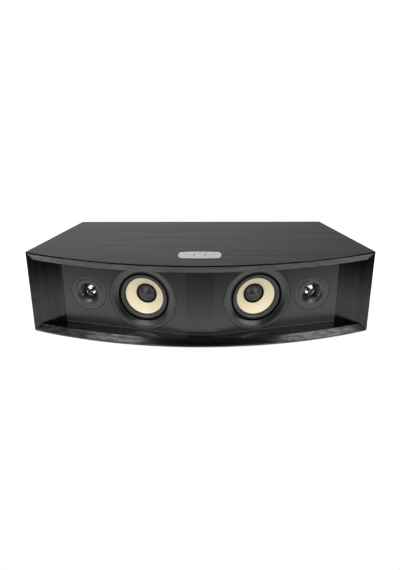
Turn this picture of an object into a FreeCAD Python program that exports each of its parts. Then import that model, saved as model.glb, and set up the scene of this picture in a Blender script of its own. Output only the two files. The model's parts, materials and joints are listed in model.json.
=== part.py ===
"""Wide two-way wireless tabletop speaker in a veneered cabinet.

Millimetres. X runs to the right, Y to the back and Z up. The origin is in the middle of the footprint,
on the surface that the rubber feet stand on. Drivers are drawn about their own axis: radius, and height
above the face of the baffle, which is negative inside the cabinet.
"""

import FreeCAD
import Part
import math
import os

# Cabinet
CABINET_WIDTH = 650.0  # over the front corners
BACK_WIDTH = 494.0
CABINET_HEIGHT = 166.0
CABINET_DEPTH = 234.0  # from the middle of the bowed front to the back edges
FRONT_BOW = 66.0  # how far the middle of the front stands before its corners
BOARD = 16.0  # top, bottom and back boards
SIDE_BOARD = 12.0
FRONT_LIP = 3.0  # flat part of the front edge of the boards
CHAMFER_DEPTH = 5.2  # fall of the front edge from the lip to the inner face
BACK_INSET = 6.0
FOOT_HEIGHT = 3.0
FOOT_DIAMETER = 22.0
FOOT_TAPER = 1.0
FRONT_FOOT_SPACING = 460.0
BACK_FOOT_SPACING = 380.0
FOOT_EDGE_DISTANCE = 45.0  # from the front corners and the back edge to the middle of a foot

# Faceted baffle and the wings at its ends
BAFFLE_THICKNESS = 18.0
BAFFLE_YAW = 13.57  # degrees, each driver facet turned outwards
CENTRE_FACET_WIDTH = 49.6
CENTRE_FACET_SETBACK = 18.6  # behind the middle of the bowed front
FACET_EDGE_RADIUS = 5.0
BAFFLE_WIDTH = 524.4  # between the folds where the wings begin
WING_THICKNESS = 12.0
BRACE_THICKNESS = 16.0
BRACE_DEPTH = 70.0
BRACE_RIM = 18.0

# Woofers
WOOFER_ALONG_FACET = 85.0  # from the edge of the centre facet
WOOFER_MARGIN = 1.5  # between the trim ring and the boards above and below it
TRIM_WIDTH = 16.0
TRIM_THICKNESS = 5.5  # at the outer edge
TRIM_DISH = 4.2  # fall of the face of the ring towards the cone
TRIM_EDGE_RADIUS = 0.8
RIM_CLEARANCE = 0.4  # round a driver in its rebate
SEAT_CLEARANCE = 1.0  # round the body of a driver in its hole
GASKET_THICKNESS = 1.0
GASKET_WIDTH = 8.0
BASKET_FLANGE = 2.0
FLANGE_INSET = 1.0  # of the basket's flange behind the trim ring
BASKET_WALL = 1.6
BASKET_STEP = 11.5  # from the edge of the trim ring in to the bowl behind the flange
SURROUND_SEAT_DEPTH = 9.5
SURROUND_SEAT_WIDTH = 5.9
SPIDER_CLEARANCE = 2.3  # from the back of the cone at its bore to the spider's seat
SPIDER_DIAMETER = 74.0
SPIDER_SEAT_WIDTH = 5.0
SPIDER_WAVES = 6  # half waves
SPIDER_WAVE_HEIGHT = 0.9
SPIDER_THICKNESS = 0.7
SPIDER_HEIGHT = 11.5  # of the spider's seat above the back of the basket
BASKET_WINDOWS = 6
WINDOW_WIDTH = 26.0
WINDOW_MARGIN = 3.0
SURROUND_THICKNESS = 0.9
ROLL_WIDTH = 7.6
ROLL_HEIGHT = 3.8
ROLL_CLEARANCE = 0.1  # between the roll and the basket's seat
CONE_DEPTH = 11.1  # of the cone's front edge below the face of the baffle
CONE_LIP = 1.8
CONE_SLOPE = 37.8  # degrees
CONE_THICKNESS = 1.0
CAP_DIAMETER = 40.0
CAP_HEIGHT = 8.0
CAP_THICKNESS = 0.8
CAP_RIM = 2.4  # width of the glued rim round the dome
COIL_DIAMETER = 25.8  # inside of the former
FORMER_THICKNESS = 0.4
WINDING_THICKNESS = 0.5
WINDING_OVERHANG = 2.0
FORMER_TAIL = 1.5
COIL_GAP = 0.5  # between the coil and the steel on each side
GLUE_GAP = 0.1
TOP_PLATE_DIAMETER = 72.0
TOP_PLATE_THICKNESS = 6.0
MAGNET_DIAMETER = 80.0
MAGNET_BORE = 42.0
MAGNET_HEIGHT = 14.0
YOKE_THICKNESS = 6.0
WOOFER_SCREWS = 4
SCREW_DIAMETER = 3.8
SCREW_HEAD_DIAMETER = 7.2
SCREW_HEAD_HEIGHT = 1.8
SCREW_LENGTH = 11.0
SCREW_CLEARANCE = 0.1

# Tweeters
DRIVER_SPACING = 7.7  # between the edges of a woofer and a tweeter
TWEETER_DIAMETER = 70.2
FACEPLATE_THICKNESS = 4.0
FACEPLATE_EDGE = 0.5
WAVEGUIDE_DIAMETER = 58.0
WAVEGUIDE_DEPTH = 7.5
WAVEGUIDE_SWELL = 3.4  # how far the flare stands in front of a straight cone
THROAT_DIAMETER = 29.0
FACEPLATE_DEPTH = 10.0
BOSS_DIAMETER = 42.0
DOME_DIAMETER = 23.6
DOME_HEIGHT = 4.5
DOME_THICKNESS = 0.5
DOME_ROLL = 1.3
DOME_ROLL_HEIGHT = 0.4
DOME_FLANGE_DIAMETER = 36.0
DOME_FLANGE = 0.6
DOME_FORMER = 0.4
DOME_FORMER_LENGTH = 4.4
GUARD_CLEARANCE = 0.2
GUARD_GAP = 1.2  # between the guard and the dome
GUARD_THICKNESS = 1.2
GUARD_RING_WIDTH = 1.0
GUARD_ARM = 2.4
GUARD_ARMS = 4
GUARD_LOOP_DIAMETER = 13.0
GUARD_LOOP_WIDTH = 1.4
GUARD_SPAN = 34.0  # over the lugs at the ends of the arms
GUARD_LUG_WIDTH = 4.0
GUARD_LUG_THICKNESS = 1.6
GUARD_LUG_FLOOR = 0.8  # of the faceplate below a lug
TWEETER_PLATE_DIAMETER = 38.0
TWEETER_PLATE_THICKNESS = 4.0
TWEETER_MAGNET_DIAMETER = 44.0
TWEETER_MAGNET_BORE = 27.0
TWEETER_MAGNET_HEIGHT = 8.0
TWEETER_YOKE_THICKNESS = 4.0

# Touch control on the top board
TOUCH_LENGTH = 79.5
TOUCH_WIDTH = 31.0
TOUCH_SETBACK = 50.0  # from the middle of the bowed front to the middle of the plate
TOUCH_END_BOW = 4.5
TOUCH_SIDE_BOW = 1.8
TOUCH_CORNER = 5.0
TOUCH_INNER_CORNER = 2.4
TOUCH_THICKNESS = 2.6
TOUCH_PROUD = 0.5
TOUCH_RIM = 2.6
TOUCH_PANEL_THICKNESS = 1.0
TOUCH_PANEL_SINK = 0.3
TOUCH_PANEL_GAP = 0.35
TOUCH_CLEARANCE = 0.3
TOUCH_LEDGE = 3.0
TOUCH_POCKET = 10.0
TOUCH_MARK_SPACING = 20.4
TOUCH_MARK_WIDTH = 1.6
TOUCH_MARK_LENGTH = 8.0
TOUCH_POST_DIAMETER = 5.0
TOUCH_POST_HEIGHT = 2.0
TOUCH_POST_SPACING = 50.0
TOUCH_BOARD_MARGIN = 1.0
CIRCUIT_BOARD = 1.6
CABLE_HOLE = 10.0

# Connector plate, electronics and ports at the back
PLATE_WIDTH = 176.0
PLATE_HEIGHT = 92.0
PLATE_THICKNESS = 2.0
PLATE_CORNER = 6.0
PLATE_RIM = 10.0  # overlap on the back board
PLATE_SCREW_INSET = 5.0
PLATE_SCREW_DIAMETER = 3.5
PLATE_SCREW_HEAD_DIAMETER = 7.0
PLATE_SCREW_HEAD_HEIGHT = 2.0
PLATE_SCREW_LENGTH = 14.0
STUD_DIAMETER = 6.0
STUD_LENGTH = 26.0
CIRCUIT_WIDTH = 68.0
CIRCUIT_HEIGHT = 60.0
CIRCUIT_SPACING = 76.0
STUD_INSET = 5.0
CONNECTOR_MARGIN = 36.0  # from the ends of the plate to the inlet and the audio socket
INLET_WIDTH = 26.0
INLET_HEIGHT = 17.0
INLET_BEZEL = 1.5
INLET_BODY_WIDTH = 22.0
INLET_BODY_HEIGHT = 13.0
INLET_BODY_DEPTH = 18.0
INLET_MOUTH_WIDTH = 17.4
INLET_MOUTH_HEIGHT = 8.8
INLET_MOUTH_DEPTH = 14.0
PIN_DIAMETER = 2.4
PIN_SPACING = 8.6
PIN_LENGTH = 8.0
SWITCH_X = 0.0
SWITCH_WIDTH = 15.0
SWITCH_HEIGHT = 21.0
SWITCH_BEZEL = 1.5
SWITCH_BODY_WIDTH = 12.8
SWITCH_BODY_HEIGHT = 18.6
SWITCH_BODY_DEPTH = 12.0
ROCKER_WIDTH = 9.0
ROCKER_LENGTH = 14.0
ROCKER_HEIGHT = 5.2  # of the ends above the pivot
ROCKER_DIP = 1.3
ROCKER_BELLY = 3.0
ROCKER_TILT = 8.0  # degrees to each side
ROCKER_CLEARANCE = 0.5
ROCKER_PIVOT_DEPTH = 2.5  # below the face of the connector plate
PIVOT_DIAMETER = 2.4
PIVOT_REACH = 1.0
PIVOT_CLEARANCE = 0.3
JACK_COLLAR_DIAMETER = 11.0
JACK_COLLAR = 1.5
JACK_BARREL_DIAMETER = 7.0
JACK_BORE = 3.6
JACK_BODY = 12.0
JACK_DEPTH = 15.0
JACK_FLOOR = 2.0
FIT_CLEARANCE = 0.2  # of connectors in the plate
FIN_COUNT = 6
FIN_THICKNESS = 2.0
FIN_HEIGHT = 14.0
SINK_WIDTH = 42.0
SINK_HEIGHT = 40.0
SINK_BASE = 4.0
CAPACITOR_DIAMETER = 12.0
CAPACITOR_HEIGHT = 20.0
TRANSFORMER_SIZE = 26.0
TRANSFORMER_HEIGHT = 22.0
PORT_SPACING = 330.0
PORT_BORE = 46.0
PORT_WALL = 2.5
PORT_LENGTH = 110.0
PORT_FLANGE_DIAMETER = 68.0
PORT_FLANGE = 2.5
PORT_FLARE_RADIUS = 8.0
PORT_CLEARANCE = 0.4

# Levels and lines worked out from the sizes above
Z_BOTTOM = FOOT_HEIGHT
Z_TOP = Z_BOTTOM + CABINET_HEIGHT
Z_FLOOR = Z_BOTTOM + BOARD
Z_CEILING = Z_TOP - BOARD
Z_MIDDLE = (Z_BOTTOM + Z_TOP) / 2
Y_FRONT = -CABINET_DEPTH / 2
Y_BACK = CABINET_DEPTH / 2
Y_CORNER = Y_FRONT + FRONT_BOW
Y_CENTRE_FACET = Y_FRONT + CENTRE_FACET_SETBACK
Y_BACK_FACE = Y_BACK - BACK_INSET
Y_PLATE = Y_BACK_FACE + PLATE_THICKNESS
WOOFER_DIAMETER = CABINET_HEIGHT - 2 * BOARD - 2 * WOOFER_MARGIN
TRIM_INNER_DIAMETER = WOOFER_DIAMETER - 2 * TRIM_WIDTH
BASKET_DIAMETER = WOOFER_DIAMETER - 2 * BASKET_STEP
SURROUND_WIDTH = BASKET_WALL + SURROUND_SEAT_WIDTH + ROLL_CLEARANCE + ROLL_WIDTH + CONE_LIP
CONE_DIAMETER = BASKET_DIAMETER - 2 * SURROUND_WIDTH
TWEETER_ALONG_FACET = WOOFER_ALONG_FACET + WOOFER_DIAMETER / 2 + DRIVER_SPACING + TWEETER_DIAMETER / 2
INLET_X = CONNECTOR_MARGIN - PLATE_WIDTH / 2
JACK_X = PLATE_WIDTH / 2 - CONNECTOR_MARGIN
BOW_RADIUS = ((CABINET_WIDTH / 2) ** 2 + FRONT_BOW**2) / (2 * FRONT_BOW)
Y_BOW_CENTRE = Y_FRONT + BOW_RADIUS
YAW = math.radians(BAFFLE_YAW)
UP = FreeCAD.Vector(0, 0, 1)
ORIGIN = FreeCAD.Vector(0, 0, 0)
FAR = 2 * (CABINET_WIDTH + CABINET_DEPTH)

parts = {}


def point(x, y, z=0.0):
    return FreeCAD.Vector(x, y, z)


def outline(*steps):
    """Closed wire. A step is a point, or a pair of points for an arc through the first to the second."""
    edges = []
    first = steps[0]
    here = first
    for step in steps[1:] + (first,):
        if isinstance(step, tuple):
            edges.append(Part.Arc(here, step[0], step[1]).toShape())
            here = step[1]
        elif not here.isEqual(step, 1e-7):
            edges.append(Part.LineSegment(here, step).toShape())
            here = step
    return Part.Wire(edges)


def prism(wire, direction):
    return Part.Face(wire).extrude(direction)


def upright(z_low, z_high, *steps):
    """Prism that stands on a plan drawn with X and Y."""
    solid = prism(outline(*steps), UP * (z_high - z_low))
    solid.translate(UP * z_low)
    return solid


def turned(*steps):
    """Solid of revolution about Z. Steps are (radius, height), or a pair of them for an arc."""
    drawn = []
    for step in steps:
        if isinstance(step[0], tuple):
            drawn.append(tuple(point(r, 0, z) for r, z in step))
        else:
            drawn.append(point(step[0], 0, step[1]))
    return Part.Face(outline(*drawn)).revolve(ORIGIN, UP, 360)


def disc(radius, z_low, z_high):
    return Part.makeCylinder(radius, z_high - z_low, point(0, 0, z_low))


def ring(inner, outer, z_low, z_high):
    return disc(outer, z_low, z_high).cut(disc(inner, z_low, z_high))


def mirrored(solid):
    return solid.mirror(ORIGIN, point(1, 0, 0))


def pair(name, solid):
    """A right-hand piece and its mirror image."""
    parts["right_" + name] = solid
    parts["left_" + name] = mirrored(solid)


def crossing(p, along, q, across):
    """Point where two lines of the plan meet."""
    scale = along.x * across.y - along.y * across.x
    step = ((q.x - p.x) * across.y - (q.y - p.y) * across.x) / scale
    return p + along * step


# Plan of the cabinet
front_corner = point(CABINET_WIDTH / 2, Y_CORNER)
back_corner = point(BACK_WIDTH / 2, Y_BACK)
side_run = (back_corner - front_corner).normalize()
side_inward = point(-side_run.y, side_run.x)


def side_at_bow(inset, setback):
    """Where a line inside the right side meets the bowed front moved back."""
    start = front_corner + side_inward * inset
    to_centre = start - point(0, Y_BOW_CENTRE)
    b = to_centre.dot(side_run)
    c = to_centre.dot(to_centre) - (BOW_RADIUS - setback) ** 2
    return start + side_run * (-b - math.sqrt(b * b - c))


def side_at_depth(inset, y):
    start = front_corner + side_inward * inset
    return start + side_run * ((y - start.y) / side_run.y)


def flip(p):
    return point(-p.x, p.y, p.z)


def cabinet_block(z_low, z_high):
    nose = point(0, Y_FRONT)
    return upright(
        z_low, z_high, flip(back_corner), back_corner, front_corner, (nose, flip(front_corner))
    )


def side_sector():
    """Right side board, mitred to the top and bottom boards, before its ends are cut."""
    start = front_corner - side_run * FAR / 2
    inner = start + side_inward * SIDE_BOARD
    section = outline(
        start + UP * Z_BOTTOM, start + UP * Z_TOP, inner + UP * Z_CEILING, inner + UP * Z_FLOOR
    )
    return prism(section, side_run * FAR)


def front_frame_cut():
    """What the shallow chamfer takes off the front edges, mitred at the corners."""
    lip_in = FRONT_LIP * SIDE_BOARD / BOARD
    deep = BOW_RADIUS - CHAMFER_DEPTH
    hollow = turned(
        (deep, Z_FLOOR),
        (deep, Z_CEILING),
        (BOW_RADIUS, Z_TOP - FRONT_LIP),
        (BOW_RADIUS + BOARD, Z_TOP - FRONT_LIP),
        (BOW_RADIUS + BOARD, Z_BOTTOM + FRONT_LIP),
        (BOW_RADIUS, Z_BOTTOM + FRONT_LIP),
    )
    hollow.translate(point(0, Y_BOW_CENTRE))
    lip = side_at_bow(lip_in, 0.0)
    inner = side_at_bow(SIDE_BOARD, CHAMFER_DEPTH)
    ahead = point(lip.x, Y_FRONT - BOARD)
    window = upright(Z_BOTTOM, Z_TOP, ahead, lip, inner, flip(inner), flip(lip), flip(ahead))
    return hollow.common(window)


def make_cabinet():
    sector = side_sector()
    chamfer = front_frame_cut()
    pair("side_panel", sector.common(cabinet_block(Z_BOTTOM, Z_TOP)).cut(chamfer))
    for name, low, high in (("top_panel", Z_CEILING, Z_TOP), ("bottom_panel", Z_BOTTOM, Z_FLOOR)):
        slab = cabinet_block(low, high)
        parts[name] = slab.cut(sector).cut(mirrored(sector)).cut(chamfer)
    front = side_at_depth(SIDE_BOARD, Y_BACK_FACE - BOARD)
    back = side_at_depth(SIDE_BOARD, Y_BACK_FACE)
    parts["back_panel"] = upright(Z_FLOOR, Z_CEILING, front, back, flip(back), flip(front))


def make_feet():
    wide = FOOT_DIAMETER / 2
    foot = turned((0, 0), (wide - FOOT_TAPER, 0), (wide, FOOT_HEIGHT), (0, FOOT_HEIGHT))
    feet = []
    for spacing, y in (
        (FRONT_FOOT_SPACING, Y_CORNER + FOOT_EDGE_DISTANCE),
        (BACK_FOOT_SPACING, Y_BACK - FOOT_EDGE_DISTANCE),
    ):
        for side in (-1, 1):
            feet.append(foot.translated(point(side * spacing / 2, y)))
    parts["rubber_feet"] = Part.makeCompound(feet)


# Baffle facets: drivers on the right facet are placed by their distance along it
facet_run = point(math.cos(YAW), math.sin(YAW))
facet_face = point(math.sin(YAW), -math.cos(YAW))
facet_start = point(CENTRE_FACET_WIDTH / 2, Y_CENTRE_FACET)


def facet_place(along):
    middle = facet_start + facet_run * along + UP * Z_MIDDLE
    turn = FreeCAD.Rotation(facet_run, UP, facet_face, "ZXY")
    return FreeCAD.Placement(middle, turn)


def on_facet(solid, along):
    placed = solid.copy()
    placed.Placement = facet_place(along).multiply(placed.Placement)
    return placed


def facet_at(x, depth):
    """Point of the right facet, moved back by a depth, at a given X."""
    return crossing(facet_start - facet_face * depth, facet_run, point(x, 0), point(0, 1))


def driver_hole(rebate_radius, rebate_depth, hole_radius):
    return disc(rebate_radius, -rebate_depth, BAFFLE_THICKNESS).fuse(
        disc(hole_radius, -2 * BAFFLE_THICKNESS, 0)
    )


def make_baffle():
    fold = facet_at(BAFFLE_WIDTH / 2, 0.0)
    fold_back = facet_at(BAFFLE_WIDTH / 2, BAFFLE_THICKNESS)
    inner_edge = point(facet_start.x - BAFFLE_THICKNESS * math.tan(YAW / 2), 0)
    inner_edge.y = Y_CENTRE_FACET + BAFFLE_THICKNESS
    right = (facet_start, fold, fold_back, inner_edge)
    left = tuple(flip(p) for p in reversed(right))
    board = upright(Z_FLOOR, Z_CEILING, *right, *left)
    fold_middles = [facet_start + UP * Z_MIDDLE, flip(facet_start) + UP * Z_MIDDLE]
    folds = [e for e in board.Edges if any(e.CenterOfMass.isEqual(p, 1e-6) for p in fold_middles)]
    board = board.makeFillet(FACET_EDGE_RADIUS, folds)
    woofer_cut = driver_hole(
        WOOFER_DIAMETER / 2 + RIM_CLEARANCE, WOOFER_REBATE, BASKET_DIAMETER / 2 + SEAT_CLEARANCE
    )
    woofer_cut = woofer_cut.fuse(screw_ring(SCREW_CLEARANCE))
    tweeter_cut = driver_hole(
        TWEETER_DIAMETER / 2 + RIM_CLEARANCE,
        FACEPLATE_THICKNESS,
        TWEETER_MAGNET_DIAMETER / 2 + SEAT_CLEARANCE,
    )
    for cutter, along in ((woofer_cut, WOOFER_ALONG_FACET), (tweeter_cut, TWEETER_ALONG_FACET)):
        tool = on_facet(cutter, along)
        board = board.cut(tool).cut(mirrored(tool))
    parts["front_baffle"] = board


def make_wings():
    fold = facet_at(BAFFLE_WIDTH / 2, 0.0)
    outer = side_at_bow(SIDE_BOARD, CHAMFER_DEPTH)
    run = (outer - fold).normalize()
    behind = point(-run.y, run.x) * WING_THICKNESS
    fold_back = crossing(fold + behind, run, fold, point(0, 1))
    outer_back = crossing(fold + behind, run, outer, side_run)
    pair("wing_panel", upright(Z_FLOOR, Z_CEILING, fold, outer, outer_back, fold_back))


def make_brace():
    half = BRACE_THICKNESS / 2
    front = Y_CENTRE_FACET + BAFFLE_THICKNESS
    back = front + BRACE_DEPTH
    board = upright(
        Z_FLOOR, Z_CEILING, point(-half, front), point(half, front), point(half, back), point(-half, back)
    )
    middle = (front + back) / 2
    bend = BRACE_DEPTH / 2 - BRACE_RIM
    low = Z_FLOOR + BRACE_RIM + bend
    high = Z_CEILING - BRACE_RIM - bend
    window = outline(
        point(-half, middle - bend, low),
        point(-half, middle - bend, high),
        (point(-half, middle, high + bend), point(-half, middle + bend, high)),
        point(-half, middle + bend, low),
        (point(-half, middle, low - bend), point(-half, middle - bend, low)),
    )
    parts["centre_brace"] = board.cut(prism(window, point(BRACE_THICKNESS, 0)))


# Woofer: heights of the stack in its rebate, then of the cone and the motor
WOOFER_REBATE = TRIM_THICKNESS + BASKET_FLANGE + GASKET_THICKNESS
FLANGE_RADIUS = WOOFER_DIAMETER / 2 - FLANGE_INSET
SCREW_CIRCLE_RADIUS = FLANGE_RADIUS - GASKET_WIDTH / 2
CONE_FALL = math.tan(math.radians(CONE_SLOPE))
FORMER_RADIUS = COIL_DIAMETER / 2 + FORMER_THICKNESS
WINDING_RADIUS = FORMER_RADIUS + WINDING_THICKNESS
CONE_BORE = FORMER_RADIUS + GLUE_GAP
CONE_WALL = CONE_THICKNESS / math.cos(math.radians(CONE_SLOPE))  # along the axis


def cone_face(radius):
    """Height of the front of the cone."""
    return -CONE_DEPTH - (CONE_DIAMETER / 2 - radius) * CONE_FALL


SPIDER_SEAT_DEPTH = CONE_WALL - cone_face(CONE_BORE) + SPIDER_CLEARANCE
BASKET_DEPTH = SPIDER_SEAT_DEPTH + SPIDER_HEIGHT
MAGNET_TOP = -BASKET_DEPTH - TOP_PLATE_THICKNESS
MAGNET_FOOT = MAGNET_TOP - MAGNET_HEIGHT


def screw(length, extra=0.0):
    """Countersunk screw with its head level with the basket's flange."""
    head = SCREW_HEAD_DIAMETER / 2 + extra
    shank = SCREW_DIAMETER / 2 + extra
    top = -TRIM_THICKNESS
    tip = top - length - extra
    return turned(
        (0, top),
        (head, top),
        (shank, top - SCREW_HEAD_HEIGHT),
        (shank, tip + SCREW_DIAMETER),
        (0, tip),
    )


def screw_ring(extra=0.0):
    screws = []
    for k in range(WOOFER_SCREWS):
        turn = math.radians((k + 0.5) * 360 / WOOFER_SCREWS)
        spot = point(math.cos(turn), math.sin(turn)) * SCREW_CIRCLE_RADIUS
        screws.append(screw(SCREW_LENGTH, extra).translated(spot))
    return Part.makeCompound(screws)


def trim_ring():
    outer = WOOFER_DIAMETER / 2
    inner = TRIM_INNER_DIAMETER / 2
    edge = TRIM_EDGE_RADIUS
    bend = edge * (1 - math.sqrt(0.5))
    return turned(
        (inner, -TRIM_THICKNESS),
        (outer, -TRIM_THICKNESS),
        (outer, -edge),
        ((outer - bend, -bend), (outer - edge, 0)),
        (inner, -TRIM_DISH),
    )


def basket():
    """Pressed bowl: flange, seat of the surround, open cone, seat of the spider, floor on the motor."""
    flange_back = -TRIM_THICKNESS - BASKET_FLANGE
    bowl = BASKET_DIAMETER / 2
    wall = BASKET_WALL
    seat = bowl - wall
    seat_in = seat - SURROUND_SEAT_WIDTH
    spider = SPIDER_DIAMETER / 2
    spider_in = spider - SPIDER_SEAT_WIDTH
    body = turned(
        (FLANGE_RADIUS, -TRIM_THICKNESS),
        (seat, -TRIM_THICKNESS),
        (seat, -SURROUND_SEAT_DEPTH),
        (seat_in, -SURROUND_SEAT_DEPTH),
        (spider + GLUE_GAP, -SPIDER_SEAT_DEPTH + 2 * SPIDER_THICKNESS),
        (spider + GLUE_GAP, -SPIDER_SEAT_DEPTH),
        (spider_in, -SPIDER_SEAT_DEPTH),
        (spider_in, -BASKET_DEPTH + wall),
        (MAGNET_BORE / 2, -BASKET_DEPTH + wall),
        (MAGNET_BORE / 2, -BASKET_DEPTH),
        (spider_in + wall, -BASKET_DEPTH),
        (spider_in + wall, -SPIDER_SEAT_DEPTH - wall),
        (spider + wall, -SPIDER_SEAT_DEPTH - wall),
        (seat_in + wall, -SURROUND_SEAT_DEPTH - wall),
        (bowl, -SURROUND_SEAT_DEPTH - wall),
        (bowl, flange_back),
        (FLANGE_RADIUS, flange_back),
    )
    low = -SPIDER_SEAT_DEPTH + WINDOW_MARGIN
    high = -SURROUND_SEAT_DEPTH - BASKET_WALL - WINDOW_MARGIN
    window = Part.makeBox(bowl, WINDOW_WIDTH, high - low, point(spider_in, -WINDOW_WIDTH / 2, low))
    for k in range(BASKET_WINDOWS):
        body = body.cut(window.rotated(ORIGIN, UP, k * 360 / BASKET_WINDOWS))
    return body.cut(screw_ring(SCREW_CLEARANCE))


def surround():
    """Half roll between a lip on the basket and a lip on the cone."""
    skin = SURROUND_THICKNESS
    outer = BASKET_DIAMETER / 2 - BASKET_WALL - GLUE_GAP
    cone = CONE_DIAMETER / 2
    roll_in = cone + CONE_LIP
    roll_out = roll_in + ROLL_WIDTH
    middle = (roll_in + roll_out) / 2
    low = -CONE_DEPTH
    high = -SURROUND_SEAT_DEPTH
    crest = (low + high) / 2 + ROLL_HEIGHT
    return turned(
        (outer, high),
        (outer, high + skin),
        (roll_out, high + skin),
        ((middle, crest + skin), (roll_in, low + skin)),
        (cone, low + skin),
        (cone, low),
        (roll_in, low),
        ((middle, crest), (roll_out, high)),
    )


def cone():
    edge = CONE_DIAMETER / 2
    return turned(
        (CONE_BORE, cone_face(CONE_BORE)),
        (edge, cone_face(edge)),
        (edge + CONE_LIP, cone_face(edge)),
        (edge + CONE_LIP, cone_face(edge) - CONE_THICKNESS),
        (edge, cone_face(edge) - CONE_WALL),
        (CONE_BORE, cone_face(CONE_BORE) - CONE_WALL),
    )


def cap_arc(radius, foot, height):
    """Middle and top of a dome's section, from its foot to the axis."""
    ball = (radius**2 + height**2) / (2 * height)
    mid = radius / 2
    return (mid, foot + height - ball + math.sqrt(ball**2 - mid**2)), (0, foot + height)


def dust_cap():
    """Dome with a rim that lies along the slope of the cone."""
    outer = CAP_DIAMETER / 2
    dome = outer - CAP_RIM
    inner = dome - CAP_THICKNESS
    rim_wall = CAP_THICKNESS / math.cos(math.radians(CONE_SLOPE))
    foot = cone_face(outer) + GLUE_GAP
    dome_foot = cone_face(dome) + GLUE_GAP + rim_wall
    inner_foot = cone_face(inner) + GLUE_GAP
    top = foot + CAP_HEIGHT
    hollow_top = top - CAP_THICKNESS
    crown = cap_arc(dome, dome_foot, top - dome_foot)
    hollow = cap_arc(inner, inner_foot, hollow_top - inner_foot)
    return turned(
        (outer, foot),
        (outer, foot + rim_wall),
        (dome, dome_foot),
        crown,
        (0, hollow_top),
        (hollow[0], (inner, inner_foot)),
    )


def voice_coil():
    bore = COIL_DIAMETER / 2
    top = cone_face(CONE_BORE) + FORMER_THICKNESS
    wound_top = -BASKET_DEPTH + WINDING_OVERHANG
    wound_end = MAGNET_TOP - WINDING_OVERHANG
    return turned(
        (bore, top),
        (FORMER_RADIUS, top),
        (FORMER_RADIUS, wound_top),
        (WINDING_RADIUS, wound_top),
        (WINDING_RADIUS, wound_end),
        (FORMER_RADIUS, wound_end),
        (FORMER_RADIUS, wound_end - FORMER_TAIL),
        (bore, wound_end - FORMER_TAIL),
    )


def spider():
    """Corrugated damper between the former and its seat in the basket."""
    inner = FORMER_RADIUS + GLUE_GAP
    outer = SPIDER_DIAMETER / 2
    start = inner + SPIDER_SEAT_WIDTH / 2
    pitch = (outer - SPIDER_SEAT_WIDTH - start) / SPIDER_WAVES
    low = -SPIDER_SEAT_DEPTH
    high = low + SPIDER_THICKNESS
    over = [(start, high)]
    under = [(start + pitch * SPIDER_WAVES, low)]
    for k in range(SPIDER_WAVES):
        swing = SPIDER_WAVE_HEIGHT * (1 if k % 2 == 0 else -1)
        middle = start + pitch * (k + 0.5)
        over.append(((middle, high + swing), (start + pitch * (k + 1), high)))
    for k in reversed(range(SPIDER_WAVES)):
        swing = SPIDER_WAVE_HEIGHT * (1 if k % 2 == 0 else -1)
        middle = start + pitch * (k + 0.5)
        under.append(((middle, low + swing), (start + pitch * k, low)))
    return turned((inner, low), (inner, high), *over, (outer, high), (outer, low), *under)


def woofer_yoke():
    pole = COIL_DIAMETER / 2 - COIL_GAP
    plate = TOP_PLATE_DIAMETER / 2
    return turned(
        (0, -BASKET_DEPTH),
        (pole, -BASKET_DEPTH),
        (pole, MAGNET_FOOT),
        (plate, MAGNET_FOOT),
        (plate, MAGNET_FOOT - YOKE_THICKNESS),
        (0, MAGNET_FOOT - YOKE_THICKNESS),
    )


def make_woofers():
    gap_radius = WINDING_RADIUS + COIL_GAP
    pieces = {
        "trim_ring": trim_ring(),
        "basket": basket(),
        "surround": surround(),
        "cone": cone(),
        "dust_cap": dust_cap(),
        "voice_coil": voice_coil(),
        "spider": spider(),
        "top_plate": ring(gap_radius, TOP_PLATE_DIAMETER / 2, MAGNET_TOP, -BASKET_DEPTH),
        "magnet": ring(MAGNET_BORE / 2, MAGNET_DIAMETER / 2, MAGNET_FOOT, MAGNET_TOP),
        "yoke": woofer_yoke(),
    }
    for name, solid in pieces.items():
        pair("woofer_" + name, on_facet(solid, WOOFER_ALONG_FACET))
    gasket = ring(
        FLANGE_RADIUS - GASKET_WIDTH, FLANGE_RADIUS, -WOOFER_REBATE, -TRIM_THICKNESS - BASKET_FLANGE
    )
    gasket = gasket.cut(screw_ring(SCREW_CLEARANCE))
    for name, solid in (("woofer_gaskets", gasket), ("woofer_screws", screw_ring())):
        placed = on_facet(solid, WOOFER_ALONG_FACET)
        parts[name] = Part.makeCompound(placed.Solids + mirrored(placed).Solids)


# Tweeter: the dome stands on the level of the back of the faceplate
DOME_FOOT = -FACEPLATE_DEPTH
DOME_RADIUS = DOME_DIAMETER / 2
DOME_BALL = (DOME_RADIUS**2 + DOME_HEIGHT**2) / (2 * DOME_HEIGHT)
DOME_CENTRE = DOME_FOOT + DOME_HEIGHT - DOME_BALL
TWEETER_PLATE_TOP = DOME_FOOT - DOME_FLANGE
TWEETER_MAGNET_TOP = TWEETER_PLATE_TOP - TWEETER_PLATE_THICKNESS
TWEETER_MAGNET_FOOT = TWEETER_MAGNET_TOP - TWEETER_MAGNET_HEIGHT


def guard_lugs(width, span, foot, top):
    """Blocks at the ends of the guard's arms, or the notches for them."""
    start = THROAT_DIAMETER / 2 - GUARD_CLEARANCE - GUARD_RING_WIDTH / 2
    lug = Part.makeBox(span / 2 - start, width, top - foot, point(start, -width / 2, foot))
    return [lug.rotated(ORIGIN, UP, (k + 0.5) * 360 / GUARD_ARMS) for k in range(GUARD_ARMS)]


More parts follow.
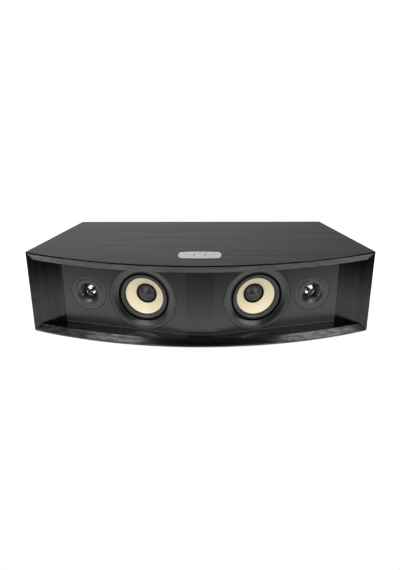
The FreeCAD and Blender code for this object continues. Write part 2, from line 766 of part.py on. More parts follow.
def faceplate():
    """Waveguide with notches at its throat for the lugs of the guard."""
    outer = TWEETER_DIAMETER / 2
    flare = WAVEGUIDE_DIAMETER / 2
    throat = THROAT_DIAMETER / 2
    swell = point(flare - throat, WAVEGUIDE_DEPTH).normalize() * WAVEGUIDE_SWELL
    shoulder = ((flare + throat) / 2 - swell.y, -WAVEGUIDE_DEPTH / 2 + swell.x)
    plate = turned(
        (throat, -FACEPLATE_DEPTH),
        (BOSS_DIAMETER / 2, -FACEPLATE_DEPTH),
        (BOSS_DIAMETER / 2, -FACEPLATE_THICKNESS),
        (outer, -FACEPLATE_THICKNESS),
        (outer, -FACEPLATE_EDGE),
        (outer - FACEPLATE_EDGE, 0),
        (flare, 0),
        (shoulder, (throat, -WAVEGUIDE_DEPTH)),
    )
    around = 2 * GUARD_CLEARANCE
    foot = DOME_FOOT + GUARD_LUG_FLOOR
    return plate.cut(guard_lugs(GUARD_LUG_WIDTH + around, GUARD_SPAN + around, foot, 0))


def diaphragm():
    """Dome, edge roll, clamped flange and coil former, moulded as one."""
    rim = DOME_RADIUS
    roll = rim + DOME_ROLL
    middle = rim + DOME_ROLL / 2
    under = DOME_FOOT - DOME_FLANGE
    bore = rim - DOME_FORMER
    skin = DOME_THICKNESS
    crown = cap_arc(rim, DOME_FOOT, DOME_HEIGHT)
    hollow = cap_arc(bore, under, DOME_FOOT + DOME_HEIGHT - skin - under)
    return turned(
        (rim, DOME_FOOT),
        crown,
        hollow[1],
        (hollow[0], (bore, under)),
        (bore, under - DOME_FORMER_LENGTH),
        (rim, under - DOME_FORMER_LENGTH),
        (rim, under),
        ((middle, under + DOME_ROLL_HEIGHT), (roll, under)),
        (DOME_FLANGE_DIAMETER / 2, under),
        (DOME_FLANGE_DIAMETER / 2, DOME_FOOT),
        (roll, DOME_FOOT),
        ((middle, DOME_FOOT + DOME_ROLL_HEIGHT), (rim, DOME_FOOT)),
    )


def guard():
    """Ring in the throat with a loop, lugs, and crossed arms that arch over the dome."""
    outer = THROAT_DIAMETER / 2 - GUARD_CLEARANCE
    inner_ball = DOME_BALL + GUARD_GAP
    outer_ball = inner_ball + GUARD_THICKNESS
    arch = Part.makeSphere(outer_ball).cut(Part.makeSphere(inner_ball))
    arch.translate(UP * DOME_CENTRE)
    reach = outer - GUARD_RING_WIDTH / 2
    loop = GUARD_LOOP_DIAMETER / 2
    web = ring(loop - GUARD_LOOP_WIDTH, loop, DOME_FOOT, 0)
    for k in range(GUARD_ARMS):
        arm = Part.makeBox(reach, GUARD_ARM, FACEPLATE_DEPTH, point(0, -GUARD_ARM / 2, DOME_FOOT))
        web = web.fuse(arm.rotated(ORIGIN, UP, (k + 0.5) * 360 / GUARD_ARMS))
    foot = DOME_FOOT + GUARD_CLEARANCE
    top = DOME_CENTRE + math.sqrt(outer_ball**2 - reach**2)
    band = ring(outer - GUARD_RING_WIDTH, outer, foot, top)
    seat = DOME_FOOT + GUARD_LUG_FLOOR + GUARD_CLEARANCE
    lugs = guard_lugs(GUARD_LUG_WIDTH, GUARD_SPAN, seat, seat + GUARD_LUG_THICKNESS)
    return arch.common(web).fuse([band] + lugs).removeSplitter()


def make_tweeters():
    gap_radius = DOME_RADIUS + COIL_GAP
    pole = DOME_RADIUS - DOME_FORMER - COIL_GAP
    plate = TWEETER_PLATE_DIAMETER / 2
    yoke = turned(
        (0, TWEETER_PLATE_TOP),
        (pole, TWEETER_PLATE_TOP),
        (pole, TWEETER_MAGNET_FOOT),
        (plate, TWEETER_MAGNET_FOOT),
        (plate, TWEETER_MAGNET_FOOT - TWEETER_YOKE_THICKNESS),
        (0, TWEETER_MAGNET_FOOT - TWEETER_YOKE_THICKNESS),
    )
    magnet_bore = TWEETER_MAGNET_BORE / 2
    magnet_edge = TWEETER_MAGNET_DIAMETER / 2
    pieces = {
        "faceplate": faceplate(),
        "diaphragm": diaphragm(),
        "guard": guard(),
        "top_plate": ring(gap_radius, plate, TWEETER_MAGNET_TOP, TWEETER_PLATE_TOP),
        "magnet": ring(magnet_bore, magnet_edge, TWEETER_MAGNET_FOOT, TWEETER_MAGNET_TOP),
        "yoke": yoke,
    }
    for name, solid in pieces.items():
        pair("tweeter_" + name, on_facet(solid, TWEETER_ALONG_FACET))


def lozenge(grow, corner, z_low, z_high):
    """Touch plate's outline with bowed sides and ends, grown all round, as an upright solid."""
    length = TOUCH_LENGTH / 2 + grow
    width = TOUCH_WIDTH / 2 + grow
    x = length - TOUCH_END_BOW
    y = width - TOUCH_SIDE_BOW
    solid = upright(
        z_low,
        z_high,
        point(-x, -y),
        (point(0, -width), point(x, -y)),
        (point(length, 0), point(x, y)),
        (point(0, width), point(-x, y)),
        (point(-length, 0), point(-x, -y)),
    )
    uprights = [edge for edge in solid.Edges if abs(edge.tangentAt(edge.FirstParameter).z) > 0.5]
    solid = solid.makeFillet(corner, uprights)
    return solid.translated(point(0, Y_FRONT + TOUCH_SETBACK))


def make_touch_control():
    top = Z_TOP + TOUCH_PROUD
    ledge = top - TOUCH_THICKNESS
    middle = point(0, Y_FRONT + TOUCH_SETBACK)
    pocket = lozenge(TOUCH_CLEARANCE, TOUCH_CORNER, ledge, Z_TOP)
    well = lozenge(-TOUCH_LEDGE, TOUCH_INNER_CORNER, Z_TOP - TOUCH_POCKET, Z_TOP)
    cable = disc(CABLE_HOLE / 2, Z_CEILING - BOARD, Z_TOP).translated(middle)
    parts["top_panel"] = parts["top_panel"].cut(pocket).cut(well).cut(cable)

    seat = top - TOUCH_PANEL_SINK - TOUCH_PANEL_THICKNESS
    plate = lozenge(0.0, TOUCH_CORNER, ledge, top)
    plate = plate.cut(lozenge(-TOUCH_RIM, TOUCH_INNER_CORNER, seat, top))
    post = disc(TOUCH_POST_DIAMETER / 2, ledge - TOUCH_POST_HEIGHT, ledge)
    for side in (-1, 1):
        plate = plate.fuse(post.translated(middle + point(side * TOUCH_POST_SPACING / 2, 0)))
    parts["touch_plate"] = plate.removeSplitter()

    panel = lozenge(-TOUCH_RIM - TOUCH_PANEL_GAP, TOUCH_INNER_CORNER, seat, seat + TOUCH_PANEL_THICKNESS)
    mark = Part.makeBox(TOUCH_MARK_WIDTH, TOUCH_MARK_LENGTH, TOUCH_PANEL_THICKNESS)
    for side in (-1, 1):
        x = side * TOUCH_MARK_SPACING / 2 - TOUCH_MARK_WIDTH / 2
        panel = panel.cut(mark.translated(middle + point(x, -TOUCH_MARK_LENGTH / 2, seat)))
    parts["touch_panel"] = panel

    board_top = ledge - TOUCH_POST_HEIGHT
    length = TOUCH_LENGTH - 2 * (TOUCH_LEDGE + TOUCH_END_BOW + TOUCH_BOARD_MARGIN)
    width = TOUCH_WIDTH - 2 * (TOUCH_LEDGE + TOUCH_SIDE_BOW + TOUCH_BOARD_MARGIN)
    corner = middle + point(-length / 2, -width / 2, board_top - CIRCUIT_BOARD)
    parts["touch_board"] = Part.makeBox(length, width, CIRCUIT_BOARD, corner)


def block(x, z, width, height, y_low, y_high):
    """Box centred on a spot of the back."""
    return Part.makeBox(width, y_high - y_low, height, point(x - width / 2, y_low, z - height / 2))


def rod(x, z, radius, y_low, y_high):
    return Part.makeCylinder(radius, y_high - y_low, point(x, y_low, z), point(0, 1))


def slot(x, z, width, height, y_low, y_high):
    """Opening with round ends, lying across."""
    reach = (width - height) / 2
    body = block(x, z, 2 * reach, height, y_low, y_high)
    for side in (-1, 1):
        body = body.fuse(rod(x + side * reach, z, height / 2, y_low, y_high))
    return body.removeSplitter()


def corners(width, height):
    return [(x * width / 2, Z_MIDDLE + z * height / 2) for x in (-1, 1) for z in (-1, 1)]


def plate_screw_spots():
    wide = PLATE_WIDTH - 2 * PLATE_SCREW_INSET
    high = PLATE_HEIGHT - 2 * PLATE_SCREW_INSET
    return corners(wide, high) + [(0, Z_MIDDLE - high / 2), (0, Z_MIDDLE + high / 2)]


def stud_spots():
    wide = CIRCUIT_WIDTH - 2 * STUD_INSET
    high = CIRCUIT_HEIGHT - 2 * STUD_INSET
    return [(x + side * CIRCUIT_SPACING / 2, z) for side in (-1, 1) for x, z in corners(wide, high)]


def make_rear_plate():
    plate = block(0, Z_MIDDLE, PLATE_WIDTH, PLATE_HEIGHT, Y_BACK_FACE, Y_PLATE)
    rounds = [edge for edge in plate.Edges if abs(edge.tangentAt(edge.FirstParameter).y) > 0.5]
    plate = plate.makeFillet(PLATE_CORNER, rounds)
    holes = [rod(JACK_X, Z_MIDDLE, JACK_BARREL_DIAMETER / 2 + FIT_CLEARANCE, Y_BACK_FACE, Y_PLATE)]
    for x, width, height in (
        (INLET_X, INLET_BODY_WIDTH, INLET_BODY_HEIGHT),
        (SWITCH_X, SWITCH_BODY_WIDTH, SWITCH_BODY_HEIGHT),
    ):
        wide = width + 2 * FIT_CLEARANCE
        high = height + 2 * FIT_CLEARANCE
        holes.append(block(x, Z_MIDDLE, wide, high, Y_BACK_FACE, Y_PLATE))
    hole_radius = PLATE_SCREW_DIAMETER / 2 + SCREW_CLEARANCE
    holes += [rod(x, z, hole_radius, Y_BACK_FACE, Y_PLATE) for x, z in plate_screw_spots()]
    for hole in holes:
        plate = plate.cut(hole)
    for x, z in stud_spots():
        plate = plate.fuse(rod(x, z, STUD_DIAMETER / 2, Y_BACK_FACE - STUD_LENGTH, Y_BACK_FACE))
    parts["rear_plate"] = plate.removeSplitter()

    y_in = Y_BACK_FACE - BOARD
    well = block(
        0, Z_MIDDLE, PLATE_WIDTH - 2 * PLATE_RIM, PLATE_HEIGHT - 2 * PLATE_RIM, y_in, Y_BACK_FACE
    )
    panel = parts["back_panel"].cut(well)
    for x, z in plate_screw_spots():
        panel = panel.cut(rod(x, z, hole_radius, y_in, Y_BACK_FACE))
    parts["back_panel"] = panel


def make_plate_screws():
    head = PLATE_SCREW_HEAD_DIAMETER / 2
    shank = PLATE_SCREW_DIAMETER / 2
    rise = PLATE_SCREW_HEAD_HEIGHT
    tip = -PLATE_SCREW_LENGTH
    dome = cap_arc(head, 0, rise)
    fastener = turned((head, 0), dome, (0, tip), (shank, tip + PLATE_SCREW_DIAMETER), (shank, 0))
    fastener.rotate(ORIGIN, point(1, 0, 0), -90)
    spots = plate_screw_spots()
    parts["rear_plate_screws"] = Part.makeCompound(
        [fastener.translated(point(x, Y_PLATE, z)) for x, z in spots]
    )


def make_mains_inlet():
    mouth = Y_PLATE + INLET_BEZEL
    back = Y_PLATE - INLET_BODY_DEPTH
    floor = mouth - INLET_MOUTH_DEPTH
    body = block(INLET_X, Z_MIDDLE, INLET_WIDTH, INLET_HEIGHT, Y_PLATE, mouth)
    body = body.fuse(block(INLET_X, Z_MIDDLE, INLET_BODY_WIDTH, INLET_BODY_HEIGHT, back, Y_PLATE))
    body = body.cut(slot(INLET_X, Z_MIDDLE, INLET_MOUTH_WIDTH, INLET_MOUTH_HEIGHT, floor, mouth))
    pins = [
        rod(INLET_X + side * PIN_SPACING / 2, Z_MIDDLE, PIN_DIAMETER / 2, floor, floor + PIN_LENGTH)
        for side in (-1, 1)
    ]
    parts["mains_inlet"] = body.removeSplitter()
    parts["inlet_pins"] = Part.makeCompound(pins)


def rocker_profile(tilt):
    """Side view of the rocker about its pivot, with its two faces meeting in a shallow valley."""
    end = ROCKER_LENGTH / 2
    valley = ROCKER_HEIGHT - ROCKER_DIP
    wire = outline(
        point(0, ROCKER_HEIGHT, -end),
        point(0, valley, 0),
        point(0, ROCKER_HEIGHT, end),
        point(0, 0, end),
        (point(0, -ROCKER_BELLY, 0), point(0, 0, -end)),
    )
    wire.rotate(ORIGIN, point(1, 0, 0), tilt)
    return wire


def make_switch():
    face = Y_PLATE + SWITCH_BEZEL
    pivot = point(SWITCH_X, Y_PLATE - ROCKER_PIVOT_DEPTH, Z_MIDDLE)
    swing = math.radians(ROCKER_TILT)
    sweep = ROCKER_LENGTH * math.cos(swing) + 2 * ROCKER_HEIGHT * math.sin(swing)
    well_width = ROCKER_WIDTH + 2 * ROCKER_CLEARANCE
    well_height = sweep + 2 * ROCKER_CLEARANCE
    well_floor = pivot.y - ROCKER_BELLY - 2 * ROCKER_CLEARANCE
    body = block(SWITCH_X, Z_MIDDLE, SWITCH_WIDTH, SWITCH_HEIGHT, Y_PLATE, face)
    body = body.fuse(
        block(
            SWITCH_X, Z_MIDDLE, SWITCH_BODY_WIDTH, SWITCH_BODY_HEIGHT, Y_PLATE - SWITCH_BODY_DEPTH, Y_PLATE
        )
    )
    body = body.cut(block(SWITCH_X, Z_MIDDLE, well_width, well_height, well_floor, face))
    reach = well_width / 2 + PIVOT_REACH
    bearing = Part.makeCylinder(
        PIVOT_DIAMETER / 2 + PIVOT_CLEARANCE,
        2 * (reach + PIVOT_CLEARANCE),
        pivot - point(reach + PIVOT_CLEARANCE, 0),
        point(1, 0),
    )
    parts["switch_housing"] = body.cut(bearing).removeSplitter()

    rocker = prism(rocker_profile(-ROCKER_TILT), point(ROCKER_WIDTH, 0))
    rocker.translate(pivot - point(ROCKER_WIDTH / 2, 0))
    pin = Part.makeCylinder(PIVOT_DIAMETER / 2, 2 * reach, pivot - point(reach, 0), point(1, 0))
    parts["power_rocker"] = rocker.fuse(pin).removeSplitter()


def make_jack():
    face = Y_PLATE + JACK_COLLAR
    barrel = rod(JACK_X, Z_MIDDLE, JACK_BARREL_DIAMETER / 2, Y_BACK_FACE, Y_PLATE)
    collar = rod(JACK_X, Z_MIDDLE, JACK_COLLAR_DIAMETER / 2, Y_PLATE, face)
    body = block(JACK_X, Z_MIDDLE, JACK_BODY, JACK_BODY, Y_PLATE - JACK_DEPTH, Y_BACK_FACE)
    bore = rod(JACK_X, Z_MIDDLE, JACK_BORE / 2, Y_PLATE - JACK_DEPTH + JACK_FLOOR, face)
    parts["aux_jack"] = body.fuse(barrel).fuse(collar).cut(bore).removeSplitter()


def make_electronics():
    board_out = Y_BACK_FACE - STUD_LENGTH
    board_in = board_out - CIRCUIT_BOARD
    amplifier_x = CIRCUIT_SPACING / 2
    power_x = -CIRCUIT_SPACING / 2
    margin = CAPACITOR_DIAMETER
    for name, x in (("amplifier_board", amplifier_x), ("power_board", power_x)):
        parts[name] = block(x, Z_MIDDLE, CIRCUIT_WIDTH, CIRCUIT_HEIGHT, board_in, board_out)
    can_x = power_x - CIRCUIT_WIDTH / 2 + margin
    can_tip = board_in - CAPACITOR_HEIGHT
    can_rise = CIRCUIT_HEIGHT / 2 - margin
    cans = [
        rod(can_x, Z_MIDDLE + side * can_rise, CAPACITOR_DIAMETER / 2, can_tip, board_in)
        for side in (-1, 1)
    ]
    core = block(
        power_x + CIRCUIT_WIDTH / 4,
        Z_MIDDLE,
        TRANSFORMER_SIZE,
        TRANSFORMER_SIZE,
        board_in - TRANSFORMER_HEIGHT,
        board_in,
    )
    parts["power_board"] = parts["power_board"].fuse(cans + [core])

    sink = block(amplifier_x, Z_MIDDLE, SINK_WIDTH, SINK_HEIGHT, board_in - SINK_BASE, board_in)
    pitch = (SINK_WIDTH - FIN_THICKNESS) / (FIN_COUNT - 1)
    tip = board_in - SINK_BASE - FIN_HEIGHT
    fins = [
        block(
            amplifier_x - (SINK_WIDTH - FIN_THICKNESS) / 2 + k * pitch,
            Z_MIDDLE,
            FIN_THICKNESS,
            SINK_HEIGHT,
            tip,
            board_in - SINK_BASE,
        )
        for k in range(FIN_COUNT)
    ]
    parts["heat_sink"] = sink.fuse(fins).removeSplitter()


def make_ports():
    bore = PORT_BORE / 2
    wall = bore + PORT_WALL
    flare = PORT_FLARE_RADIUS
    neck = wall + PORT_WALL
    flange = PORT_FLANGE_DIAMETER / 2
    bend = flare * (1 - math.sqrt(0.5))
    tube = turned(
        (flange, 0),
        (flange, PORT_FLANGE),
        (bore + flare, PORT_FLANGE),
        ((bore + bend, PORT_FLANGE - bend), (bore, PORT_FLANGE - flare)),
        (bore, -PORT_LENGTH),
        (wall, -PORT_LENGTH),
        (wall, -BOARD),
        (neck, -BOARD + PORT_WALL),
        (neck, 0),
    )
    tube.rotate(ORIGIN, point(1, 0, 0), -90)
    tube.translate(point(PORT_SPACING / 2, Y_BACK_FACE, Z_MIDDLE))
    pair("port_tube", tube)
    hole = rod(PORT_SPACING / 2, Z_MIDDLE, neck + PORT_CLEARANCE, Y_BACK_FACE - BOARD, Y_BACK_FACE)
    parts["back_panel"] = parts["back_panel"].cut(hole).cut(mirrored(hole))


def main():
    make_cabinet()
    make_feet()
    make_baffle()
    make_wings()
    make_brace()
    make_woofers()
    make_tweeters()
    make_touch_control()
    make_rear_plate()
    make_plate_screws()
    make_mains_inlet()
    make_switch()
    make_jack()
    make_electronics()
    make_ports()
    os.makedirs("parts", exist_ok=True)
    for name, solid in parts.items():
        solid.exportStep("parts/" + name + ".step")


main()
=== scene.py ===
import json
import math

import bmesh
import bpy
from bpy.props import FloatProperty, FloatVectorProperty, IntProperty, PointerProperty
from mathutils import Matrix, Vector
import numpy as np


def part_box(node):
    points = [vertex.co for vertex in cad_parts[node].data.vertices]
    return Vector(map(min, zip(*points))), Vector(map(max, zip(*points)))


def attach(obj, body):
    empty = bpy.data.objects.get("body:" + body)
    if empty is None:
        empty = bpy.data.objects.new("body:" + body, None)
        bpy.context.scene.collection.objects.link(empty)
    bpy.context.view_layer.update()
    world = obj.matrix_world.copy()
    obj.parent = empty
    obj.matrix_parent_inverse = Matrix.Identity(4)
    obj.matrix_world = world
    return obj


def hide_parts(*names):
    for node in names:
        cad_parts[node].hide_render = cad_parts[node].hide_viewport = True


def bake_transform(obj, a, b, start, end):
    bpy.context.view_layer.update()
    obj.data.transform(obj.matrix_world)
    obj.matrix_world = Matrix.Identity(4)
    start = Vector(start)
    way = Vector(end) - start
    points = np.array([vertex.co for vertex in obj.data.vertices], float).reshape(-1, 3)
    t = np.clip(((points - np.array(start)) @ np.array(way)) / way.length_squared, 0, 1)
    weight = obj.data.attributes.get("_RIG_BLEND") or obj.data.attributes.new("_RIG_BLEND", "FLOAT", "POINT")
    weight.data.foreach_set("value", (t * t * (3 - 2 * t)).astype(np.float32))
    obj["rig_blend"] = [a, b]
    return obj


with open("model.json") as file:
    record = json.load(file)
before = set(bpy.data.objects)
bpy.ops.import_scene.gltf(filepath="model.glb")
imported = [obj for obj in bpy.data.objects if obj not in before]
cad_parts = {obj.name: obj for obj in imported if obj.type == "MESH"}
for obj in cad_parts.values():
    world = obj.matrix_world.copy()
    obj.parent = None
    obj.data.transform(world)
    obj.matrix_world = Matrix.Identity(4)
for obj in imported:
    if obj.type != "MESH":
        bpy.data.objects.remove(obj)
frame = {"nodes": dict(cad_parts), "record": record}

bl_info = {
    "name": "Wireless speaker",
    "version": (1, 0, 0),
    "blender": (4, 5, 0),
    "location": "View3D > Sidebar > Speaker",
    "description": "Finishes a veneered two-way tabletop speaker on its packed frame",
    "category": "Object",
}

MM = 0.001
RECORD = frame["record"]
SIDES = (("left", -1), ("right", 1))
BODY_OF = {node: body for body, nodes in RECORD["behaviour"]["bodies"].items() for node in nodes}
SLOT_OF = {part["node"]: part["material_slot"] for part in RECORD["subparts"]}
ROOT = "cabinet"
TURN = 2 * math.pi
RIGHT_ANGLE = math.pi / 2

# Meshes
WELD = 1e-6  # metres, points nearer than this are one
FLAT = math.radians(0.15)  # faces that meet at less than this are one flat face
SHARP = math.radians(32)  # edges that turn by more than this are eased or stay crisp
BOARD_SHARP = math.radians(18)  # the slope of the front edges stays crisp
FACET_SHARP = math.radians(5)  # the facets of the baffle meet at crisp lines
FACES_UP = 0.99  # least upward part of the normal of a face that looks up
MITRE_TILT = (0.4, 0.9)  # bounds of the upward part of the normal of a mitred face
EASE_STEPS = 2  # faces across an eased edge
RIB_FOOT, RIB_CREST = 0.35, 0.12  # half widths of a cone's rib, as parts of the pitch
TRIM_EDGE_STEPS = 6  # this and the next five: steps along the arcs of the turned sections
ROLL_STEPS = 16
CAP_STEPS = 20
CAP_HOLLOW_STEPS = 12
DOME_EDGE_STEPS = 8
DOME_STEPS = 24

# Grain of the veneer. A layer has its cycles in a metre along and across the grain, its detail,
# its bend and the band of the noise that shows.
ASH_LAYERS = {
    "Figure": ((1.3, 34, 34), 3.0, 0.6, 0.3, 0.7),
    "Streaks": ((5, 230, 230), 4.0, 0.0, 0.36, 0.64),
    "Pores": ((45, 1900, 1900), 2.0, 0.0, 0.56, 0.68),
}
PORE_DEPTH = 0.4  # depth of the pores against the height of the streaks
GRAIN_DEPTH = 0.08 * MM
STREAK_SHARE = 0.65  # part of the shade that comes from the streaks, with the rest from the figure
STREAK_ROUGHNESS = 0.06  # change of roughness across a streak
EVEN_LOSS = 0.4  # part of the even gloss that a full figure leaves to the grain
LACQUER_GAIN = 2.0  # weight of the lacquer on the palest grain, for each unit of figure and gloss
UPRIGHT_GLOSS = 0.36  # gloss of the veneer on the upright boards

# Skins of paint, plastic, rubber and metal, and the fine rings on turned pieces
SKIN_FINENESS = 900.0  # bumps in a metre
SKIN_DEPTH = 0.02 * MM
SKIN_SPREAD = 0.25  # change of shade over the skin, as a part of it
SKIN_PATCH = (0.05, 0.05, 0.05)  # cycles of shade for each bump
SKIN_BAND = (0.25, 0.75)  # band of the noise that shows as shade
SKIN_GLOSS = 0.12  # change of roughness over the skin, as a part of it
SKIN_STRENGTH = 0.5  # strength of the bumps and the rings
RING_PITCH = 1.6 * MM
RING_FINENESS = 1600.0  # bumps in a metre between the rings
RING_SHADE, RING_MOTTLE = 0.6, 0.2  # parts of the colour change from the rings, which paint shade into their hollows, and from the mottle
RING_ROUGHNESS = 0.1  # most roughness that the mottle adds
RING_GRIT = 0.3  # height of the mottle against the rings
FOOT_HIGHLIGHT_HEIGHT = 1.4 * MM  # height of the painted highlight, a paler line along the foot of the baffle
FOOT_HIGHLIGHT_BLUR = 0.3 * MM  # half the width of the painted highlight's soft edge
FOOT_HIGHLIGHT_LIFT = 5.0  # shade of the painted highlight against the paint

# Stage
WHITE = (1.0, 1.0, 1.0)
SOFTBOX_TINT = (0.95, 0.98, 1.0)
STUDIO_TINT = (0.96, 0.965, 1.0)
SENSOR = 36.0  # millimetres, width of the camera's sensor
NEAREST = 0.01  # metres, the camera sees nothing nearer
AIM = -0.05  # Y of the point at which the lamps look
LOW = 0.08  # Z of that point for the lamps above the speaker
# Bands of the surroundings, by the direction of a reflection: from, to, and the factors at both ends
REAR_BAND = (-0.35, 0.3)  # from the dark front to the backdrop
ACROSS_BAND = (-0.05, 0.35, 1.0, 0.5)  # from the left to the right
HEIGHT_BAND = (0.2, 0.6, 1.3, 0.6)  # from the table to the ceiling
# A lamp has its name, its power on the stage, its place, the height at which it looks, its width,
# its height, its tint, and whether it lights matt pieces or is only seen in glossy ones.
LAMPS = (
    ("overhead", "overhead", (0, -0.83, 1.7), LOW, 1.3, 0.5, WHITE, True),
    ("left_top", "tops", (-1.15, -0.7, 1.7), LOW, 1.0, 0.8, WHITE, False),
    ("right_top", "tops", (1.15, -0.7, 1.7), LOW, 1.0, 0.8, WHITE, False),
    ("left_softbox", "left", (-0.76, -1.18, 0.76), 0.76, 0.48, 1.5, SOFTBOX_TINT, True),
    ("right_softbox", "right", (0.97, -1.0, 0.55), 0.55, 0.66, 1.06, SOFTBOX_TINT, True),
    ("left_wash", "wash", (-1.12, -0.78, 0.6), 0.6, 0.5, 1.2, WHITE, True),
    ("key", "key", (-0.3, -1.35, 1.35), LOW, 2.2, 0.4, WHITE, True),
)


def length(name, description, default):
    return FloatProperty(name=name, description=description, default=default, unit="LENGTH", precision=5)


def angle(name, description, degrees):
    return FloatProperty(name=name, description=description, default=math.radians(degrees), unit="ROTATION")


def colour(name, description, rgb):
    return FloatVectorProperty(
        name=name, description=description, default=rgb, size=3, subtype="COLOR", min=0, max=1
    )


def place(name, description, xyz):
    return FloatVectorProperty(name=name, description=description, default=xyz, size=3, subtype="TRANSLATION")


def count(name, description, default, least, most):
    return IntProperty(name=name, description=description, default=default, min=least, max=most)


def power(name, description, watts):
    return FloatProperty(name=name, description=description, default=watts, unit="POWER")


def strength(name, description, default):
    return FloatProperty(name=name, description=description, default=default, min=0)


class SpeakerSizes(bpy.types.PropertyGroup):
    """Sizes of the pieces that are made or eased here"""

    facet_yaw: angle("Facet yaw", "Outward turn of each driver facet of the baffle", 13.57)
    side_splay: angle("Side splay", "Turn of the grain of each side board from straight back", 24.9)
    woofer_centre: place(
        "Woofer centre", "Middle of the right woofer on the baffle", (0.107427, -0.078456, 0.086)
    )
    tweeter_centre: place(
        "Tweeter centre", "Middle of the right tweeter on the baffle", (0.212704, -0.053045, 0.086)
    )
    board_ease: length("Board ease", "Rounding of the exposed edges of the boards", 0.3 * MM)
    metal_ease: length("Metal ease", "Rounding of the edges of the rear plate and the sockets", 0.25 * MM)
    plate_ease: length("Touch plate ease", "Rounding of the edges of the touch plate", 0.3 * MM)
    fine_ease: length("Fine ease", "Rounding of the edges of the touch panel and the guards", 0.12 * MM)
    foot_ease: length("Foot ease", "Rounding of the edges of the rubber feet", 0.6 * MM)
    mark_ease: length("Mark ease", "Rounding of the edges of the touch marks", 0.15 * MM)
    mark_reach: length("Mark reach", "Distance of each touch mark from the middle line", 10.2 * MM)
    mark_width: length("Mark width", "Width of a touch mark", 1.56 * MM)
    mark_length: length("Mark length", "Length of a touch mark", 7.96 * MM)
    mark_depth: length("Mark depth", "Depth of a touch mark", 0.9 * MM)
    mark_sink: length("Mark sink", "Fall of a touch mark's middle below the panel's middle", 0.05 * MM)
    trim_radius: length("Trim radius", "Outer radius of the woofer's trim ring", 65.5 * MM)
    trim_inner: length("Trim opening", "Inner radius of the woofer's trim ring", 49.5 * MM)
    trim_depth: length("Trim depth", "Thickness of the trim ring at its outer edge", 5.5 * MM)
    trim_dish: length("Trim dish", "Fall of the trim ring's face towards the cone", 4.2 * MM)
    trim_edge: length("Trim edge", "Rounding of the trim ring's outer edge", 0.8 * MM)
    trim_lip: length("Trim lip", "Chamfer at the trim ring's opening", 0.5 * MM)
    seat_radius: length("Seat radius", "Outer radius of the surround's flat lip", 52.3 * MM)
    seat_depth: length("Seat depth", "Depth of the surround's outer lip", 9.5 * MM)
    skin: length("Surround skin", "Thickness of the rubber", 0.9 * MM)
    roll_inner: length("Roll inner", "Inner radius of the half roll", 38.8 * MM)
    roll_outer: length("Roll outer", "Outer radius of the half roll", 46.4 * MM)
    roll_rise: length("Roll rise", "Rise of the half roll", 3.8 * MM)
    spider_inner: length("Spider inner", "Radius within which the spider moves with the cone", 16.0 * MM)
    spider_outer: length("Spider outer", "Radius from which the spider lies on the basket", 32.0 * MM)
    cone_radius: length("Cone radius", "Radius of the cone's bright face", 37.0 * MM)
    cone_depth: length("Cone depth", "Depth of the cone's front edge", 11.1 * MM)
    cone_slope: angle("Cone slope", "Slope of the cone's face", 37.8)
    cone_bore: length("Cone bore", "Radius of the hole for the voice coil", 13.4 * MM)
    cone_skin: length("Cone skin", "Thickness of the cone", 1.0 * MM)
    cone_ribs: count("Cone ribs", "Fine pressed rings on the cone", 8, 0, 24)
    rib_rise: length("Rib rise", "Rise of each pressed ring", 0.16 * MM)
    cap_radius: length("Cap radius", "Radius of the dust cap with its glued rim", 20.0 * MM)
    cap_rim: length("Cap rim", "Width of the glued rim round the dust cap", 2.4 * MM)
    cap_rise: length("Cap rise", "Rise of the dust cap above its rim", 8.0 * MM)
    cap_skin: length("Cap skin", "Thickness of the dust cap", 0.8 * MM)
    cap_gap: length("Cap gap", "Gap for the glue between the dust cap and the cone", 0.1 * MM)
    dome_radius: length("Dome radius", "Radius of the tweeter's dome", 11.8 * MM)
    dome_rise: length("Dome rise", "Rise of the tweeter's dome", 4.5 * MM)
    dome_foot: length("Dome foot", "Depth of the dome's edge", 10.0 * MM)
    dome_edge: length("Dome edge", "Width of the roll round the dome", 1.3 * MM)
    dome_roll: length("Dome roll", "Rise of the roll round the dome", 0.4 * MM)
    flange_radius: length("Flange radius", "Radius of the flange that holds the dome", 18.0 * MM)
    flange: length("Flange", "Thickness of the flange that holds the dome", 0.6 * MM)
    round_steps: count("Round steps", "Steps round a turned piece", 128, 24, 256)


